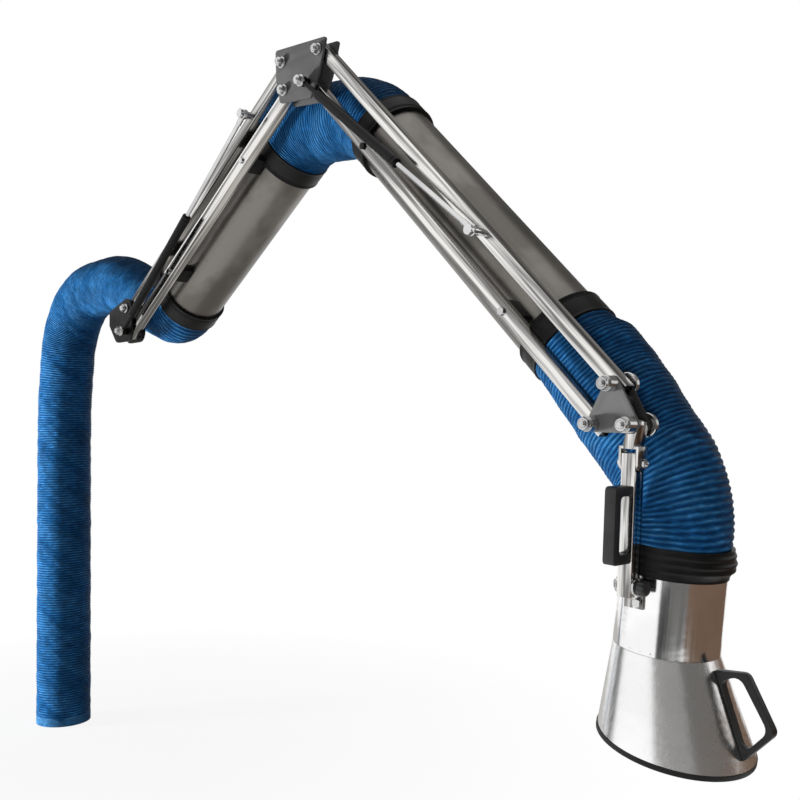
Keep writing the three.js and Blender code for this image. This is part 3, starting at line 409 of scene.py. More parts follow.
CONE_LOOK = steel("hood_cone_steel", HOOD_RISE, (0.92, 0.99), (0.17, 0.3), (230, 230, 4), 0.35)
ELBOW_LOOK = painted("elbow_plate_steel", (0.1, 0.118), (0.45, 0.58), 500.0, 0.0002, 0.1, 0.12)
WRIST_LOOK = painted("wrist_plate_steel", (0.145, 0.17), (0.42, 0.55), 500.0, 0.0002, 0.1, 0.15)
# The rear wrist plate is the wrist plates' steel made near black: painted shade for its inner face, which sits in
# shadow between the plates.
REAR_PLATE_PAINTED_SHADE = painted("rear_plate_painted_shade", (0.03, 0.04), (0.45, 0.58), 500.0, 0.0002, 0.1, 0.15)
BRIGHT_LOOK = steel("fastener_chrome", 0, (0.5, 0.68), (0.12, 0.28), (120, 120, 120))
ROD_LOOK = steel("rod_chrome", 0, (0.6, 0.72), (0.08, 0.16), (90, 90, 90))
BLACK_PAINT = painted("black_paint", (0.006, 0.010), (0.25, 0.42), 420.0, 0.0003, 0, 0.15)
STRUT_BLACK = painted("strut_black", (0.004, 0.007), (0.25, 0.35), 700.0, 0.0001, 0, 0.14)
RUBBER = painted("black_rubber", (0.006, 0.011), (0.36, 0.5), 600.0, 0.0003, 0, 0.2)
PLASTIC = painted("black_plastic", (0.02, 0.032), (0.34, 0.48), 900.0, 0.0003, 0, 0.25)
HOSE_BLUE = hose_look()


# Mesh helpers

def new_object(name, vertices, faces, material, sharp=32):
    mesh = bpy.data.meshes.new(name)
    mesh.from_pydata([tuple(v) for v in vertices], [], [tuple(int(i) for i in f) for f in faces])
    mesh.validate()
    finish_mesh(mesh, material, sharp)
    thing = bpy.data.objects.new(name, mesh)
    bpy.context.scene.collection.objects.link(thing)
    return thing


def finish_mesh(mesh, material, sharp):
    shape = bmesh.new()
    shape.from_mesh(mesh)
    bmesh.ops.recalc_face_normals(shape, faces=shape.faces)
    shape.to_mesh(mesh)
    shape.free()
    mesh.polygons.foreach_set("use_smooth", [True] * len(mesh.polygons))
    mesh.set_sharp_from_angle(angle=math.radians(sharp))
    mesh.materials.clear()
    mesh.materials.append(material)


# A grid of rings joined by quads, closed round each ring, and closed from the last ring to the first.
def ring_faces(count, sides, first=0, closed=True):
    faces = []
    for i in range(count if closed else count - 1):
        a = first + i * sides
        b = first + ((i + 1) % count) * sides
        for j in range(sides):
            k = (j + 1) % sides
            faces.append((a + j, a + k, b + k, b + j))
    return faces


# Vertices and faces gathered from several solids, for one piece.
class Solids:
    def __init__(self):
        self.vertices = []
        self.faces = []

    def add(self, vertices, faces, place):
        start = len(self.vertices)
        self.vertices += [place @ Vector(v) for v in vertices]
        self.faces += [tuple(start + i for i in f) for f in faces]

    # A closed profile of (along, radius) turned about the X axis of a frame. radius_at shapes it by angle.
    def lathe(self, profile, place, sides=ROUND_SIDES, radius_at=None):
        vertices = []
        for along, radius in profile:
            for j in range(sides):
                angle = 2 * math.pi * j / sides
                r = radius if radius_at is None else radius_at(radius, angle)
                vertices.append((along, r * math.cos(angle), r * math.sin(angle)))
        self.add(vertices, ring_faces(len(profile), sides), place)

    # A solid bar about the X axis, with its two ends closed.
    def bar(self, profile, place, sides=PIN_SIDES, radius_at=None):
        vertices = []
        for along, radius in profile:
            for j in range(sides):
                angle = 2 * math.pi * j / sides
                r = radius if radius_at is None else radius_at(radius, angle)
                vertices.append((along, r * math.cos(angle), r * math.sin(angle)))
        faces = ring_faces(len(profile), sides, 0, False)
        faces.append(tuple(range(sides)))
        faces.append(tuple(len(vertices) - sides + j for j in range(sides)))
        self.add(vertices, faces, place)

    def piece(self, name, material, sharp=32):
        return new_object(name, self.vertices, self.faces, material, sharp)


# Radius of a hexagon by angle, for a given half width across its flats.
def hexagon(radius, angle):
    sector = math.radians(60)
    return radius / math.cos((angle + sector / 2) % sector - sector / 2)


# Hexagon with its corners cut to a round chamfer at one height.
def chamfered(radius, angle, limit):
    return min(hexagon(radius, angle), limit)


# Profile of a hexagon along the axis with chamfers: rings of (along, radius, limit).
def hex_solid(solids, start, end, width, place, bore=None, sides=72):
    half = width / 2
    corner = half / math.cos(math.radians(30))
    cut = (end - start) * 0.16
    rings = [(start, half * 1.0), (start + math.copysign(abs(cut), cut), corner + GAP),
             (end - math.copysign(abs(cut), cut), corner + GAP), (end, half * 1.0)]
    vertices = []
    for along, limit in rings:
        for j in range(sides):
            angle = 2 * math.pi * j / sides
            r = chamfered(half, angle, limit)
            vertices.append((along, r * math.cos(angle), r * math.sin(angle)))
    if bore is None:
        faces = ring_faces(len(rings), sides, 0, False)
        faces.append(tuple(range(sides)))
        faces.append(tuple(len(vertices) - sides + j for j in range(sides)))
    else:
        for along in (end, start):
            for j in range(sides):
                angle = 2 * math.pi * j / sides
                vertices.append((along, bore * math.cos(angle), bore * math.sin(angle)))
        faces = ring_faces(len(rings) + 2, sides)
    solids.add(vertices, faces, place)


# Threaded shank between two places, with a chamfered tip at the end.
def thread(start, end, radius):
    step = THREAD_PITCH / 2 * math.copysign(1, end - start)
    profile = []
    count = int(abs(end - start) / abs(step))
    for i in range(count):
        profile.append((start + i * step, radius - (THREAD_DEPTH if i % 2 else 0)))
    profile.append((end - step * 0.6, radius - THREAD_DEPTH))
    profile.append((end, radius - 2 * THREAD_DEPTH))
    return profile


def dress(piece, node):
    body = nodes[node]["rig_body"]
    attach(piece, body)
    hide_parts(node)
    return piece


# A copy of a CAD solid with its long edges rounded.
def softened(node, width, material, sharp=40):
    mesh = nodes[node].data.copy()
    shape = bmesh.new()
    shape.from_mesh(mesh)
    bmesh.ops.remove_doubles(shape, verts=shape.verts, dist=1e-6)
    bmesh.ops.dissolve_limit(shape, angle_limit=math.radians(1), verts=shape.verts, edges=shape.edges)
    edges = [e for e in shape.edges if len(e.link_faces) == 2 and e.calc_face_angle(0) > math.radians(28)]
    bmesh.ops.bevel(shape, geom=edges, offset=width, offset_type="OFFSET", segments=2, profile=0.5,
                    affect="EDGES", clamp_overlap=True)
    bmesh.ops.triangulate(shape, faces=[f for f in shape.faces if len(f.verts) > 4])
    shape.to_mesh(mesh)
    shape.free()
    for attribute in [a.name for a in mesh.attributes if a.name.startswith("custom")]:
        mesh.attributes.remove(mesh.attributes[attribute])
    finish_mesh(mesh, material, sharp)
    piece = bpy.data.objects.new(node + "_dressed", mesh)
    bpy.context.scene.collection.objects.link(piece)
    return dress(piece, node)


# Linkage

def rounded_square(half, corner, steps=5):
    points = []
    for k, (sx, sz) in enumerate(((1, 1), (-1, 1), (-1, -1), (1, -1))):
        for i in range(steps + 1):
            angle = math.radians(90 * k + 90 * i / steps)
            points.append((sx * (half - corner) + corner * math.cos(angle),
                           sz * (half - corner) + corner * math.sin(angle)))
    return points


def square_tube(solids, start, end, place):
    outer = rounded_square(BAR / 2, BAR_CORNER)
    inner = rounded_square(BAR / 2 - BAR_WALL, BAR_CORNER / 3)
    rings = [(start, outer), (end, outer), (end, inner), (start, inner)]
    vertices = [(x, y, z) for x, loop in rings for y, z in loop]
    solids.add(vertices, ring_faces(4, len(outer)), place)


def pivot_bar(node, pivot, rise, length, look):
    solids = Solids()
    place = slanted(pivot, 0, rise)
    square_tube(solids, -BAR_END, length + BAR_END, place)
    proud = BAR / 2 + BUSH_PROUD
    for x in (0, length):
        centre = ahead(pivot, rise, x)
        solids.lathe([(-proud, PIN_BORE_RADIUS), (-proud, BUSH_RADIUS), (proud, BUSH_RADIUS),
                      (proud, PIN_BORE_RADIUS)], across(centre), PIN_SIDES)
    dress(solids.piece(node + "_dressed", look), node)


def pivot_bolt(name, place, rear, front, spacer):
    seat = front - spacer
    nut_end = seat - NUT_HEIGHT
    tip = nut_end - BOLT_TIP
    bolt = Solids()
    hex_solid(bolt, rear, rear + HEAD_HEIGHT, HEAD_ACROSS, across(place))
    bolt.bar([(rear, BOLT_RADIUS)] + thread(seat, tip, BOLT_RADIUS), across(place))
    dress(bolt.piece(name + "_bolt_dressed", BRIGHT_LOOK), name + "_bolt")
    nut = Solids()
    hex_solid(nut, nut_end, seat, HEAD_ACROSS, across(place), PIN_BORE_RADIUS)
    soft = 0.0006
    nut.lathe([(front, PIN_BORE_RADIUS), (front, WASHER_RADIUS - soft), (front - soft, WASHER_RADIUS),
               (seat + soft, WASHER_RADIUS), (seat, WASHER_RADIUS - soft), (seat, PIN_BORE_RADIUS)],
              across(place), PIN_SIDES)
    dress(nut.piece(name + "_nut_dressed", BRIGHT_LOOK), name + "_nut")


def wrist_disc(node, place):
    start = PLATE_OUTER + GAP
    end = start + DISC_HEIGHT
    soft = 0.0012
    disc = Solids()
    disc.lathe([(start, PIN_BORE_RADIUS), (start, DISC_RADIUS - soft), (start + soft, DISC_RADIUS),
                (end - soft, DISC_RADIUS), (end, DISC_RADIUS - soft), (end, PIN_BORE_RADIUS)],
               across(place), 64)
    dress(disc.piece(node + "_dressed", BRIGHT_LOOK), node)


# Plated face of a nut on the front of a lower bar.
def saddle_nut(body, place):
    seat = -BAR / 2 - GAP
    nut = Solids()
    hex_solid(nut, seat - SADDLE_NUT_HEIGHT, seat, SADDLE_NUT_ACROSS, across(place))
    piece = nut.piece(f"{body}_nut_face", BRIGHT_LOOK)
    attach(piece, body)


def linkage():
    rear = PLATE_OUTER + GAP
    front = -PLATE_OUTER - GAP
    over_strut = front - STRUT_STANDOFF - STRUT_EYE_WIDTH - GAP
    behind_disc = rear + DISC_HEIGHT + GAP
    pivot_bar("arm_1_lower_bar", BASE_LOWER, ARM1_RISE, ARM1_LENGTH, BAR_LOOKS["arm_1"])
    pivot_bar("arm_1_upper_bar", BASE_UPPER, ARM1_RISE, ARM1_LENGTH, BAR_LOOKS["arm_1"])
    pivot_bar("arm_2_lower_bar", ELBOW2_LOWER, ARM2_RISE, ARM2_LENGTH, BAR_LOOKS["arm_2"])
    pivot_bar("arm_2_upper_bar", ELBOW2_UPPER, ARM2_RISE, ARM2_LENGTH, BAR_LOOKS["arm_2"])
    pivot_bolt("base_upper", BASE_UPPER, rear, front, WASHER_HEIGHT)
    pivot_bolt("base_lower", BASE_LOWER, rear, over_strut, WASHER_HEIGHT)
    pivot_bolt("elbow_1_upper", ELBOW1_UPPER, rear, front, WASHER_HEIGHT)
    pivot_bolt("elbow_1_lower", ELBOW1_LOWER, rear, front, WASHER_HEIGHT)
    pivot_bolt("elbow_2_upper", ELBOW2_UPPER, rear, front, WASHER_HEIGHT)
    pivot_bolt("elbow_2_lower", ELBOW2_LOWER, rear, over_strut, WASHER_HEIGHT)
    pivot_bolt("wrist_upper", WRIST_UPPER, behind_disc, front, SPACER_HEIGHT)
    pivot_bolt("wrist_lower", WRIST_LOWER, rear, front, SPACER_HEIGHT)
    pivot_bolt("wrist_hanger", WRIST_HANGER, behind_disc, front, SPACER_HEIGHT)
    wrist_disc("wrist_upper_disc", WRIST_UPPER)
    wrist_disc("wrist_hanger_disc", WRIST_HANGER)
    softened("base_bracket", 0.0012, BLACK_PAINT)
    softened("wrist_front_plate", 0.0006, WRIST_LOOK)
    # The rear plate's near-black colour is painted shade.
    softened("wrist_rear_plate", 0.0006, REAR_PLATE_PAINTED_SHADE)
    for side in ("front", "rear"):
        softened(f"elbow_{side}_plate", 0.0006, ELBOW_LOOK)
    for arm in (1, 2):
        for place in (1, 2):
            softened(f"duct_{arm}_saddle_{place}", 0.0008, BLACK_PAINT)
    for x in ARM1_NUTS:
        saddle_nut("arm_1", ahead(BASE_LOWER, ARM1_RISE, x))
    for x in ARM2_NUTS:
        saddle_nut("arm_2", ahead(ELBOW2_LOWER, ARM2_RISE, x))


# Gas strut from a pivot to a stud on the upper bar.
def strut(number, pivot, stud, barrel_end):
    run = (stud[0] - pivot[0], stud[1] - pivot[1])
    reach = math.hypot(*run)
    rise = math.degrees(math.atan2(run[1], run[0]))
    place = slanted(pivot, STRUT_SIDE, rise)
    half = STRUT_EYE_WIDTH / 2
    soft = 0.0012
    r = STRUT_BARREL_RADIUS
    barrel = Solids()
    barrel.lathe([(-half, PIN_BORE_RADIUS), (-half, STRUT_EYE_RADIUS - soft), (soft - half, STRUT_EYE_RADIUS),
                  (half - soft, STRUT_EYE_RADIUS), (half, STRUT_EYE_RADIUS - soft), (half, PIN_BORE_RADIUS)],
                 across(pivot, STRUT_SIDE), PIN_SIDES)
    barrel.lathe([(half - soft, PIN_BORE_RADIUS), (half - soft, BUSH_RADIUS), (half + STRUT_STANDOFF, BUSH_RADIUS),
                  (half + STRUT_STANDOFF, PIN_BORE_RADIUS)], across(pivot, STRUT_SIDE), PIN_SIDES)
    barrel.bar([(STRUT_EYE_RADIUS * 0.75, half), (STRUT_NECK, half)], place)
    bore = STRUT_ROD_RADIUS + GAP
    barrel.lathe([(STRUT_NECK - soft, half), (STRUT_NECK, r - 2 * soft), (STRUT_NECK + 3 * soft, r),
                  (barrel_end - 0.012, r), (barrel_end - 0.011, r - 0.0008), (barrel_end - 0.0095, r - 0.0008),
                  (barrel_end - 0.0085, r), (barrel_end - 2 * soft, r), (barrel_end, r - 2 * soft),
                  (barrel_end, bore), (barrel_end - STRUT_ROD_INSERT - 0.09, bore),
                  (barrel_end - STRUT_ROD_INSERT - 0.09, 0.0005), (STRUT_NECK - soft, 0.0005)], place, PIN_SIDES)
    dress(barrel.piece(f"strut_{number}_barrel_dressed", STRUT_BLACK), f"strut_{number}_barrel")

    rod = Solids()
    rod.bar([(barrel_end - STRUT_ROD_INSERT, STRUT_ROD_RADIUS), (reach - 0.03, STRUT_ROD_RADIUS),
             (reach - 0.029, STRUT_ROD_RADIUS + 0.0012), (reach - STRUT_EYE_RADIUS * 0.75, STRUT_ROD_RADIUS + 0.0012)],
            place)
    stud_place = across(stud, STRUT_SIDE)
    foot = -BAR / 2 - GAP - STRUT_SIDE
    rod.bar([(-half, STRUT_EYE_RADIUS - soft), (soft - half, STRUT_EYE_RADIUS), (half - soft, STRUT_EYE_RADIUS),
             (half, STRUT_EYE_RADIUS - soft)], stud_place)
    rod.bar([(half - soft, STUD_RADIUS), (foot, STUD_RADIUS)], stud_place)
    hex_solid(rod, -half - NUT_HEIGHT, -half, HEAD_ACROSS, stud_place)
    dress(rod.piece(f"strut_{number}_rod_dressed", ROD_LOOK), f"strut_{number}_rod")


# Ducts and cuffs

def smooth(t):
    t = min(max(t, 0.0), 1.0)
    return t * t * (3 - 2 * t)


def duct(node, pivot, rise, lift, span, look):
    solids = Solids()
    place = slanted(pivot, DUCT_SIDE, rise) @ Matrix.Translation((0, 0, lift))
    inner = DUCT_RADIUS - DUCT_WALL
    solids.lathe([(span[0], DUCT_RADIUS), (span[1], DUCT_RADIUS), (span[1], inner), (span[0], inner)], place)
    dress(solids.piece(node + "_dressed", look), node)


# Outer radius of a rubber cuff by its share from the duct's end: a crowned band with a rolled lip at each end
# and two grooves near the duct.
def plain_cuff(t, angle):
    r = CUFF_RADIUS - 0.0014 + 0.0008 * math.sin(math.pi * t)
    r += sum(CUFF_BEAD * math.exp(-((t - lip) / 0.035) ** 2) for lip in (0.04, 0.96))
    return r - sum(CUFF_GROOVE * math.exp(-((t - groove) / 0.016) ** 2) for groove in (0.15, 0.22))


# Outer radius of the hood's cuff by its share from below: a narrow foot, a belly and a top that draws in, with
# three soft folds. On its front it stays clear of the hanger tube.
def hood_cuff_radius(t, angle):
    body = HOOD_CUFF_FOOT + (HOOD_CUFF_BELLY - HOOD_CUFF_FOOT) * smooth((t - 0.05) / 0.36)
    body -= (HOOD_CUFF_BELLY - HOOD_CUFF_TOP) * smooth((t - 0.5) / 0.5)
    front = smooth((-math.cos(angle) - 0.55) / 0.3)
    body += (min(body, HOOD_CUFF_FRONT - HOOD_CUFF_RIDGE) - body) * front
    folds = sum(math.exp(-((t - fold) / 0.06) ** 2) for fold in (0.3, 0.55, 0.8))
    return body + HOOD_CUFF_RIDGE * folds


def cuff(node, place, end, towards, on_duct, radius_at):
    steps = 40
    near = end - towards * CUFF_REACH
    far = end + towards * CUFF_REACH
    angles = 2 * np.pi * np.arange(ROUND_SIDES) / ROUND_SIDES
    vertices = [(near, (on_duct + GAP) * math.cos(a), (on_duct + GAP) * math.sin(a)) for a in angles]
    for i in range(steps + 1):
        along = near + (far - near) * i / steps
        radii = [radius_at(i / steps, a) for a in angles]
        vertices += [(along, r * math.cos(a), r * math.sin(a)) for r, a in zip(radii, angles)]
    bore = HOSE_RADIUS - HOSE_WALL
    vertices += [(far, bore * math.cos(a), bore * math.sin(a)) for a in angles]
    solids = Solids()
    solids.add(vertices, ring_faces(steps + 3, ROUND_SIDES), place)
    dress(solids.piece(node + "_dressed", RUBBER, 50), node)


def ducts():
    for number, pivot, rise, lift, span in ((1, BASE_LOWER, ARM1_RISE, DUCT1_LIFT, DUCT1_SPAN),
                                            (2, ELBOW2_LOWER, ARM2_RISE, DUCT2_LIFT, DUCT2_SPAN)):
        duct(f"duct_{number}", pivot, rise, lift, span, DUCT_LOOKS[f"arm_{number}"])
        place = slanted(pivot, DUCT_SIDE, rise) @ Matrix.Translation((0, 0, lift))
        cuff(f"duct_{number}_cuff_1", place, span[0], -1, DUCT_RADIUS, plain_cuff)
        cuff(f"duct_{number}_cuff_2", place, span[1], 1, DUCT_RADIUS, plain_cuff)


# Hose routes in the XZ plane: straight runs, and arcs with a radius and a turn in degrees.

def station_on(leg, distance):
    (x, z), angle, bend, _ = leg
    if bend == 0:
        return (x + distance * math.cos(angle), z + distance * math.sin(angle)), angle
    end = angle + bend * distance
    return (x + (math.sin(end) - math.sin(angle)) / bend, z + (math.cos(angle) - math.cos(end)) / bend), end


def route(start, heading, moves):
    place, angle = start, math.radians(heading)
    legs = []
    for size, turn in moves:
        bend = 0 if turn == 0 else math.copysign(1, turn) / size
        length = size if turn == 0 else size * abs(math.radians(turn))
        legs.append((place, angle, bend, length))
        place, angle = station_on(legs[-1], length)
    return legs


def station(legs, distance):
    for leg in legs[:-1]:
        if distance <= leg[3]:
            return station_on(leg, distance)
        distance -= leg[3]
    return station_on(legs[-1], distance)


def turn_between(heading, following):
    return (following - heading + 180) % 360 - 180


def two_bends(start, heading, end, end_heading, radius):
    side = math.copysign(1, turn_between(heading, end_heading))

    def centre(place, angle, distance):
        return ahead(ahead(place, angle, distance), angle + 90 * side, radius)

    first = centre(start, heading, CUFF_REACH)
    second = centre(end, end_heading, -CUFF_REACH)
    step = (second[0] - first[0], second[1] - first[1])
    middle = math.degrees(math.atan2(step[1], step[0]))
    return route(start, heading, [(CUFF_REACH, 0), (radius, turn_between(heading, middle)),
                                  (math.hypot(*step), 0), (radius, turn_between(middle, end_heading)),
                                  (CUFF_REACH, 0)])


# Irregular creases of the fabric, from a few waves with fixed phases.
CREASES = [(2, 61.0, 0.3, 0.30), (3, 37.0, 1.9, 0.34), (5, 83.0, 4.2, 0.24), (7, 121.0, 2.7, 0.2),
           (11, 149.0, 5.3, 0.16), (-4, 97.0, 0.9, 0.2), (-9, 173.0, 3.6, 0.16), (17, 211.0, 1.2, 0.1)]
CREASE_DEPTH = 0.0012
RIB_WANDER = 0.9


def creases(distance, angle):
    return sum(a * np.sin(n * angle + k * distance + p) for n, k, p, a in CREASES)


# Rings of a ribbed hose between two shares of its route, with the height of the rib at each point.
class Hose:
    def __init__(self, legs, sides, swell=0.0, side_swell=0.0, hem=0.0, bulge=0.0):
        self.legs = legs
        self.bulge = bulge
        self.length = sum(leg[3] for leg in legs)
        self.sides = sides
        self.swell = swell
        self.side_swell = side_swell
        self.hem = hem

    def ring(self, distance, inside):
        (x, z), heading = station(self.legs, distance)
        share = distance / self.length
        angle = 2 * np.pi * np.arange(HOSE_SIDES) / HOSE_SIDES
        shift = smooth((share - HOOD_HOSE_SHIFT_START) / (1 - CUFF_REACH / self.length - HOOD_HOSE_SHIFT_START))
        side = self.sides[0] + (self.sides[1] - self.sides[0]) * shift
        free = (distance - CUFF_REACH) / (self.length - 2 * CUFF_REACH)
        full = math.sin(math.pi * min(max(free, 0), 1)) ** 0.6
        plain = 0.0
        if self.hem:
            plain = smooth((distance - self.length + self.hem) / 0.004)
        crease = creases(distance, angle)
        wave = 0.5 + 0.5 * np.cos(2 * np.pi * distance / RIB_PITCH - angle + RIB_WANDER * crease)
        rib = wave ** 0.7 * (1 - plain) + plain
        in_cuff = 0.3 if min(distance, self.length - distance) < CUFF_REACH and not plain else 1.0
        rough = crease * CREASE_DEPTH * (1 - plain) * in_cuff
        if inside:
            radius = HOSE_RADIUS - HOSE_WALL + 0 * angle
        else:
            radius = HOSE_RADIUS - RIB_DEPTH * (1 - rib) + rough
        across_y = (radius + self.side_swell * full) * np.cos(angle)
        hump = smooth(free / 0.12) * (1 - smooth((free - 0.25) / 0.4))
        upward = (radius + self.swell * full) * np.sin(angle)
        upward = upward + self.bulge * hump * (1 + np.sin(angle)) / 2
        points = np.stack([x - upward * math.sin(heading), side + across_y, z + upward * math.cos(heading)], 1)
        around = HOSE_RADIUS * np.stack([np.cos(angle), np.sin(angle)], 1)
        cloth = np.concatenate([around, np.full((HOSE_SIDES, 1), distance)], 1)
        # The height that colours the fabric also carries the creases, so the painted shade and highlight follow them.
        return points, np.clip(rib + crease * 0.18, 0, 1), cloth

    # One stretch of the hose as a closed piece with its bore.
    def piece(self, name, start, end):
        count = max(8, int(round((end - start) * self.length / RIB_PITCH * RINGS_PER_RIB)))
        distances = np.linspace(start * self.length, end * self.length, count + 1)
        inner = np.linspace(end * self.length, start * self.length, max(6, count // 8) + 1)
        rings = [self.ring(d, False) for d in distances] + [self.ring(d, True) for d in inner]
        vertices = np.concatenate([r[0] for r in rings])
        heights = np.concatenate([r[1] for r in rings])
        cloth = np.concatenate([r[2] for r in rings])
        piece = new_object(name, vertices, ring_faces(len(rings), HOSE_SIDES), HOSE_BLUE, 60)
        # The rib height sets the painted highlight and shade of the fabric.
        attribute = piece.data.attributes.new("rib", "FLOAT", "POINT")
        attribute.data.foreach_set("value", heights.astype(np.float32))
        attribute = piece.data.attributes.new("cloth", "FLOAT_VECTOR", "POINT")
        attribute.data.foreach_set("vector", cloth.astype(np.float32).ravel())
        return piece or piece

    def point(self, share):
        (x, z), _ = station(self.legs, share * self.length)
        return Vector((x, DUCT_SIDE, z))

    # Line of a blend between the rings at two shares. It keeps clear of both, so that each ring rides one body.
    def blend_line(self, low, high):
        first, second = self.point(low), self.point(high)
        run = (second - first).normalized()
        low_ring, _, _ = self.ring(low * self.length, False)
        high_ring, _, _ = self.ring(high * self.length, False)
        after = max((Vector(p) - first).dot(run) for p in low_ring)
        before = min((Vector(p) - second).dot(run) for p in high_ring)
        return first + run * after, second + run * before


# Stretches of a hose, each blended from one body to the next outside the cuffs.
def hose_pieces(node, hose, bodies, splits):
    cuffed = CUFF_REACH / hose.length
    for i, (first, second) in enumerate(zip(bodies, bodies[1:])):
        start, end = splits[i], splits[i + 1]
        piece = hose.piece(f"{node}_{i + 1}", start, end)
        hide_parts(node)
        line = hose.blend_line(max(start, cuffed), min(end, 1 - cuffed))
        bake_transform(piece, first, second, *line)


def hoses():
    heading = 180 + ARM1_RISE
    start = plus(BASE_LOWER, turned((DUCT1_SPAN[0] - GAP, DUCT1_LIFT), ARM1_RISE))
    base = Hose(route(start, heading, [
        (BASE_HOSE_CLEAR, 0),
        (BASE_HOSE_FIRST_BEND, BASE_HOSE_CLIMB_ANGLE - heading),
        (BASE_HOSE_CLIMB, 0),
        (BASE_HOSE_TOP_BEND, 180 - BASE_HOSE_CLIMB_ANGLE),
        (BASE_HOSE_LEVEL, 0),
        (BASE_HOSE_TOP_BEND, 90 - BASE_HOSE_LEAN),
        (BASE_HOSE_SLOW_BEND, BASE_HOSE_LEAN),
        (BASE_HOSE_HANG, 0),
    ]), (DUCT_SIDE, DUCT_SIDE), hem=BASE_HOSE_HEM)
    piece = base.piece("base_hose_1", 0, 1)
    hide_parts("base_hose")
    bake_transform(piece, "arm_1", "base", *base.blend_line(CUFF_REACH / base.length, BASE_HOSE_BLEND_END))

    end1 = plus(BASE_LOWER, turned((DUCT1_SPAN[1] + GAP, DUCT1_LIFT), ARM1_RISE))
    start2 = plus(ELBOW2_LOWER, turned((DUCT2_SPAN[0] - GAP, DUCT2_LIFT), ARM2_RISE))
    elbow = Hose(two_bends(end1, ARM1_RISE, start2, ARM2_RISE, ELBOW_HOSE_BEND), (DUCT_SIDE, DUCT_SIDE),
                 0.003, 0.002)
    hose_pieces("elbow_hose", elbow, ("arm_1", "elbow", "arm_2"), (0, 0.5, 1))

    end2 = plus(ELBOW2_LOWER, turned((DUCT2_SPAN[1] + GAP, DUCT2_LIFT), ARM2_RISE))
    neck_top = plus(HOOD_PLACE, turned((0, NECK_RISE + GAP), HOOD_RISE))
    hood = Hose(two_bends(end2, ARM2_RISE, neck_top, HOOD_RISE - 90, HOOD_HOSE_BEND), (DUCT_SIDE, HOOD_SIDE),
                HOOD_HOSE_SWELL, HOOD_HOSE_SIDE_SWELL, bulge=HOOD_HOSE_BULGE)
    hose_pieces("hood_hose", hood, ("arm_2", "wrist", "yoke", "hanger", "hood"), (0, 0.36, 0.5, 0.68, 1))


# Hanger and hood

def ear_edge(side, sheet):
    return HANGER_SHIFT + side * (BAR / 2 + SLIDE_CLEARANCE + sheet + GAP)


def cross_bolt(node, drop, sheet, tip):
    left = ear_edge(-1, sheet)
    place = HANGER_FRAME @ Matrix.Translation((0, 0, -drop))
    bolt = Solids()
    hex_solid(bolt, left - CROSS_HEAD_HEIGHT, left, CROSS_HEAD_ACROSS, place)
    right = ear_edge(1, sheet)
    bolt.bar([(left, CROSS_BOLT_RADIUS)] + thread(right, tip, CROSS_BOLT_RADIUS), place)
    dress(bolt.piece(node + "_dressed", BRIGHT_LOOK), node)


# Clamping knob with shallow flutes round its side and a domed end.
def hood_knob():
    right = ear_edge(1, BRACKET_SHEET)
    place = HANGER_FRAME @ Matrix.Translation((0, 0, -HOOD_BOLT_DROP))
    end = right + KNOB_LENGTH
    bore = CROSS_BOLT_RADIUS + GAP

    def fluted(radius, angle):
        return radius - (0.0006 * (1 + math.cos(10 * angle)) if radius > KNOB_RADIUS * 0.93 else 0)

    knob = Solids()
    knob.lathe([(right, bore), (right, KNOB_RADIUS * 0.8), (right + 0.003, KNOB_RADIUS * 0.8),
                (right + 0.0045, KNOB_RADIUS * 0.95), (right + 0.006, KNOB_RADIUS), (end - 0.004, KNOB_RADIUS),
                (end - 0.0016, KNOB_RADIUS * 0.94), (end - 0.0003, KNOB_RADIUS * 0.8), (end, KNOB_RADIUS * 0.5),
                (end, 0.0003), (right + 0.012, 0.0003), (right + 0.012, bore)], place, 80, fluted)
    dress(knob.piece("hood_knob_dressed", PLASTIC, 45), "hood_knob")


def hanger():
    softened("hanger_yoke", 0.0008, BAR_LOOKS["hanger"])
    softened("hanger_tube", 0.0016, BAR_LOOKS["hanger"])
    softened("hanger_grip", 0.0022, PLASTIC)
    softened("hood_bracket", 0.0008, BAR_LOOKS["hanger"])
    right = ear_edge(1, YOKE_SHEET)
    cross_bolt("hanger_bolt", HANGER_BOLT_DROP, YOKE_SHEET, right + CROSS_HEAD_HEIGHT + CROSS_BOLT_TIP)
    nut = Solids()
    place = HANGER_FRAME @ Matrix.Translation((0, 0, -HANGER_BOLT_DROP))
    hex_solid(nut, right, right + CROSS_HEAD_HEIGHT, CROSS_HEAD_ACROSS, place, CROSS_BOLT_RADIUS + GAP)
    dress(nut.piece("hanger_nut_dressed", BRIGHT_LOOK), "hanger_nut")
    cross_bolt("hood_bolt", HOOD_BOLT_DROP, BRACKET_SHEET, ear_edge(1, BRACKET_SHEET) + 0.011)
    softened("hood_bracket_screw", 0.0006, BRIGHT_LOOK)
    hood_knob()


# Rings of the hood in its own frame: level ones about its axis, and tilted ones at its mouth.
def level_ring(drop, radius):
    angles = 2 * np.pi * np.arange(ROUND_SIDES) / ROUND_SIDES
    return [(radius * math.cos(a), -radius * math.sin(a), -drop) for a in angles]


def mouth_ring(radius, depth):
    tilt = math.radians(MOUTH_TILT)
    over = Vector((math.cos(tilt), 0, -math.sin(tilt)))
    outward = Vector((-math.sin(tilt), 0, -math.cos(tilt)))
    centre = Vector((CONE_SHIFT, 0, -NECK_DROP - CONE_HEIGHT)) + outward * depth
    angles = 2 * np.pi * np.arange(ROUND_SIDES) / ROUND_SIDES
    return [tuple(centre + over * (radius * math.cos(a)) - Vector((0, radius * math.sin(a), 0))) for a in angles]


def ring_piece(node, rings, material, sharp=32):
    solids = Solids()
    vertices = [v for ring in rings for v in ring]
    solids.add(vertices, ring_faces(len(rings), ROUND_SIDES), HOOD_FRAME)
    return dress(solids.piece(node + "_dressed", material, sharp), node)


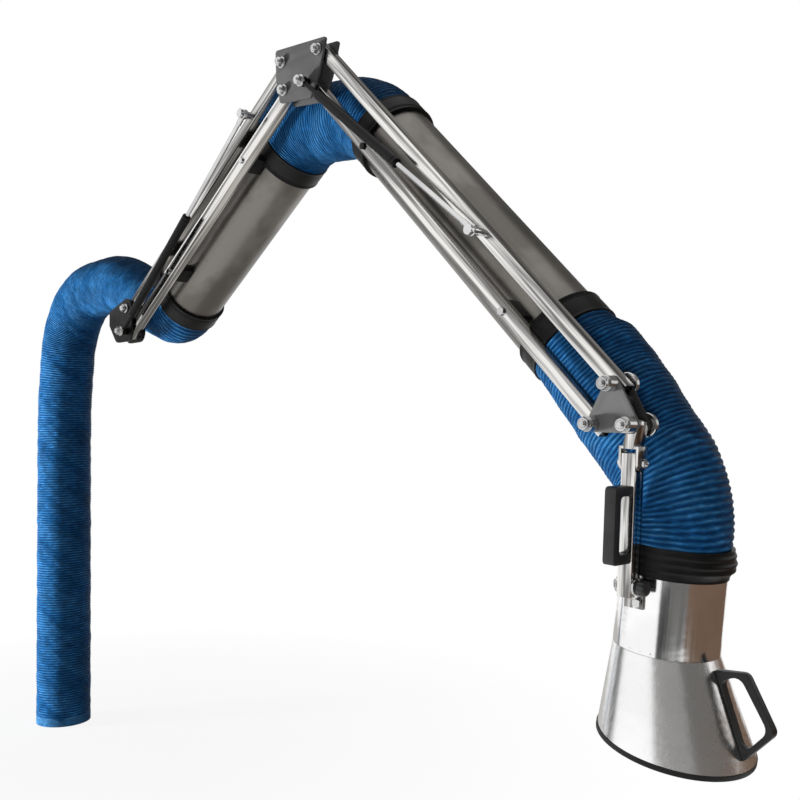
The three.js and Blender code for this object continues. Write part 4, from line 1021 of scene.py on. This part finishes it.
def hood():
    place = HOOD_FRAME @ DOWN
    inner = NECK_RADIUS - HOOD_WALL
    neck = Solids()
    soft = 0.0004
    neck.lathe([(-NECK_RISE, NECK_RADIUS), (NECK_DROP - soft, NECK_RADIUS), (NECK_DROP, NECK_RADIUS - soft),
                (NECK_DROP, inner), (-NECK_RISE, inner)], place)
    for angle in SPOT_WELDS:
        weld = place @ Matrix.Rotation(math.radians(angle), 4, "X")
        weld = weld @ Matrix.Translation((NECK_DROP - SPOT_WELD_RISE, NECK_RADIUS, 0))
        dome = [(-0.0008, SPOT_WELD_RADIUS), (0.0002, SPOT_WELD_RADIUS), (0.0006, SPOT_WELD_RADIUS * 0.6)]
        neck.bar(dome, weld @ Matrix.Rotation(math.radians(90), 4, "Z"), 20)
    dress(neck.piece("hood_neck_dressed", NECK_LOOK), "hood_neck")
    cuff("hood_cuff", place, -NECK_RISE, -1, NECK_RADIUS, hood_cuff_radius)
    collar = inner - GAP
    shoulder = NECK_DROP + GAP
    rings = [level_ring(NECK_DROP - COLLAR, collar), level_ring(shoulder, collar),
             level_ring(shoulder, NECK_RADIUS), mouth_ring(MOUTH_RADIUS, 0),
             mouth_ring(MOUTH_RADIUS - HOOD_WALL, 0), level_ring(shoulder + HOOD_WALL, collar - HOOD_WALL),
             level_ring(NECK_DROP - COLLAR, collar - HOOD_WALL)]
    ring_piece("hood_cone", rings, CONE_LOOK)
    outer = MOUTH_RADIUS + RIM_PROUD
    inside = outer - RIM_THICKNESS
    middle = (outer + inside) / 2
    half = RIM_THICKNESS / 2
    bottom = GAP + RIM_HEIGHT - half
    rim = [mouth_ring(outer, GAP)]
    rim += [mouth_ring(middle + half * math.cos(a), bottom + half * math.sin(a))
            for a in np.radians(np.linspace(0, 180, 9))]
    rim.append(mouth_ring(inside, GAP))
    ring_piece("hood_rim", rim, RUBBER)
    softened("hood_handle", 0.0022, PLASTIC)


# Stage

def camera():
    yaw, pitch, roll = (math.radians(v) for v in (CAMERA_YAW, CAMERA_PITCH, CAMERA_ROLL))
    forward = Vector((-math.sin(yaw) * math.cos(pitch), math.cos(yaw) * math.cos(pitch), -math.sin(pitch)))
    level = Vector((math.cos(yaw), math.sin(yaw), 0))
    upright = level.cross(forward)
    right = level * math.cos(roll) + upright * math.sin(roll)
    up = upright * math.cos(roll) - level * math.sin(roll)
    data = bpy.data.cameras.new("camera")
    data.lens = CAMERA_LENS
    data.sensor_width = CAMERA_SENSOR
    data.clip_end = 60
    thing = bpy.data.objects.new("camera", data)
    thing.matrix_world = Matrix.Translation(CAMERA_PLACE) @ Matrix((right, up, -forward)).transposed().to_4x4()
    bpy.context.scene.collection.objects.link(thing)
    bpy.context.scene.camera = thing


def lamp(name, place, target, size, power):
    data = bpy.data.lights.new(name, "AREA")
    data.size = size
    data.energy = power
    thing = bpy.data.objects.new(name, data)
    thing.visible_glossy = False
    thing.visible_camera = False
    thing.location = place
    thing.rotation_mode = "QUATERNION"
    thing.rotation_quaternion = (Vector(target) - Vector(place)).to_track_quat("-Z", "Y")
    bpy.context.scene.collection.objects.link(thing)


FLOOR_SIZE = 40
FLOOR_DROP = 0.004
FLOOR_WHITE_FROM = 0.8
FLOOR_WHITE_AT = 2.2
WORLD_LIGHT = 0.05
CARD_SPLIT = -0.3
CARD_TOP = 5.5


# One for the rays that show the background: straight to the camera, mirrored or seen through.
def showing(tree):
    rays = tree.nodes.new("ShaderNodeLightPath")
    total = rays.outputs["Is Camera Ray"]
    for kind in ("Is Glossy Ray", "Is Transmission Ray"):
        most = tree.nodes.new("ShaderNodeMath")
        most.operation = "MAXIMUM"
        tree.links.new(total, most.inputs[0])
        tree.links.new(rays.outputs[kind], most.inputs[1])
        total = most.outputs["Value"]
    return total


# Pale floor that takes the shadow near the object and turns to the white of the background further off.
def floor():
    z = cad_low.z - FLOOR_DROP
    half = FLOOR_SIZE / 2
    corners = [(-half, -half, z), (half, -half, z), (half, half, z), (-half, half, z)]
    material, tree, shader = blank("pale_floor")
    shader.inputs["Base Color"].default_value = (0.85, 0.85, 0.85, 1)
    shader.inputs["Roughness"].default_value = 0.9
    shader.inputs["Specular IOR Level"].default_value = 0.0
    place = tree.nodes.new("ShaderNodeTexCoord")
    shift = tree.nodes.new("ShaderNodeMapping")
    shift.inputs["Location"].default_value = (-cad_low.x - 0.3, 0, 0)
    reach = tree.nodes.new("ShaderNodeVectorMath")
    reach.operation = "LENGTH"
    fade = tree.nodes.new("ShaderNodeMapRange")
    fade.inputs["From Min"].default_value = FLOOR_WHITE_FROM
    fade.inputs["From Max"].default_value = FLOOR_WHITE_AT
    fade.inputs["To Min"].default_value = 0.86
    fade.inputs["To Max"].default_value = 1.0
    amount = tree.nodes.new("ShaderNodeMath")
    amount.operation = "MULTIPLY"
    white = tree.nodes.new("ShaderNodeEmission")
    white.inputs["Color"].default_value = (1, 1, 1, 1)
    white.inputs["Strength"].default_value = 1.0
    mix = tree.nodes.new("ShaderNodeMixShader")
    tree.links.new(place.outputs["Object"], shift.inputs["Vector"])
    tree.links.new(shift.outputs["Vector"], reach.inputs[0])
    tree.links.new(reach.outputs["Value"], fade.inputs["Value"])
    tree.links.new(fade.outputs["Result"], amount.inputs[0])
    tree.links.new(showing(tree), amount.inputs[1])
    tree.links.new(amount.outputs["Value"], mix.inputs["Fac"])
    tree.links.new(shader.outputs["BSDF"], mix.inputs[1])
    tree.links.new(white.outputs["Emission"], mix.inputs[2])
    tree.links.new(mix.outputs["Shader"], tree.nodes["Material Output"].inputs["Surface"])
    thing = new_object("floor", corners, [(0, 1, 2, 3)], material)


# Grey studio card that shows only as a reflection in the metal.
def card(name, corners, colour):
    material, tree, _ = blank(name)
    glow = tree.nodes.new("ShaderNodeEmission")
    glow.inputs["Color"].default_value = (*colour, 1)
    glow.inputs["Strength"].default_value = 1.0
    tree.links.new(glow.outputs["Emission"], tree.nodes["Material Output"].inputs["Surface"])
    thing = new_object(name, corners, [(0, 1, 2, 3)], material)
    thing.visible_camera = False
    thing.visible_diffuse = False
    thing.visible_transmission = False
    thing.visible_shadow = False


# Upright card between two places on the floor plan.
def wall_card(name, start, end, low, high, colour):
    card(name, [(*start, low), (*end, low), (*end, high), (*start, high)], colour)


# Card on the floor with its corners on the floor plan.
def floor_card(name, corners, colour):
    card(name, [(x, y, cad_low.z) for x, y in corners], colour)


def world():
    scene_world = bpy.data.worlds.new("studio")
    bpy.context.scene.world = scene_world
    scene_world.use_nodes = True
    tree = scene_world.node_tree
    light = tree.nodes["Background"]
    light.inputs["Color"].default_value = (1, 1, 1, 1)
    light.inputs["Strength"].default_value = WORLD_LIGHT
    white = tree.nodes.new("ShaderNodeBackground")
    white.inputs["Color"].default_value = (1, 1, 1, 1)
    white.inputs["Strength"].default_value = 1.0
    mix = tree.nodes.new("ShaderNodeMixShader")
    tree.links.new(showing(tree), mix.inputs["Fac"])
    tree.links.new(light.outputs["Background"], mix.inputs[1])
    tree.links.new(white.outputs["Background"], mix.inputs[2])
    tree.links.new(mix.outputs["Shader"], tree.nodes["World Output"].inputs["Surface"])


camera()
bpy.context.scene.view_settings.view_transform = "Standard"
world()
lamp("key", (-2.2, -2.6, -0.85), (0.2, 0, -0.4), 0.6, 270)
lamp("fill", (2.7, -1.7, -0.8), (1.6, 0, -0.4), 0.8, 18)
floor()
BROWN = (0.15, 0.098, 0.068)
GREY = (0.13, 0.128, 0.123)
DARK = (0.04, 0.04, 0.04)
wall_card("back_low_card", (1.5, 3), (5, 3), cad_low.z, CARD_SPLIT, BROWN)
wall_card("back_card", (-4, 3), (5, 3), 1.0, CARD_TOP, (0.19, 0.183, 0.175))
wall_card("side_low_card", (5, 3), (5, -1.5), cad_low.z, CARD_SPLIT, BROWN)
wall_card("side_card", (5, 2.6), (5, -1.5), CARD_SPLIT, CARD_TOP, (0.15, 0.146, 0.14))
wall_card("corner_low_card", (5, -1.5), (3.2, -3.1), cad_low.z, CARD_SPLIT, GREY)
wall_card("corner_card", (5, -1.5), (2.2, -3.55), CARD_SPLIT, CARD_TOP, (0.29, 0.285, 0.28))
wall_card("left_card", (-4, -0.6), (-4, -2.5), cad_low.z, 1.0, (0.1, 0.1, 0.1))
wall_card("left_high_card", (-4, 3), (-4, -1.4), 1.0, 4.0, (0.3, 0.3, 0.3))
floor_card("brown_card", ((2.4, 1.4), (3.0, -0.56), (5, -1.5), (5, 3)), BROWN)
floor_card("brown_back_card", ((1.4, 0.9), (2.4, 0.9), (5, 3), (1.4, 3)), BROWN)
floor_card("grey_card", ((3.0, -0.56), (2.35, -1.2), (3.2, -3.1), (5, -1.5)), GREY)
floor_card("stripe_card", ((2.35, -1.2), (1.87, -1.4), (2.1, -3.6), (3.2, -3.1)), DARK)
floor_card("under_card", ((-3, -0.1), (1.4, -0.1), (1.4, 2.6), (-3, 2.6)), (0.5, 0.485, 0.465))
hoses()
linkage()
strut(1, BASE_LOWER, ahead(BASE_UPPER, ARM1_RISE, STRUT1_STUD), STRUT1_BARREL_END)
strut(2, ELBOW2_LOWER, ahead(ELBOW2_UPPER, ARM2_RISE, STRUT2_STUD), STRUT2_BARREL_END)
ducts()
hanger()
hood()
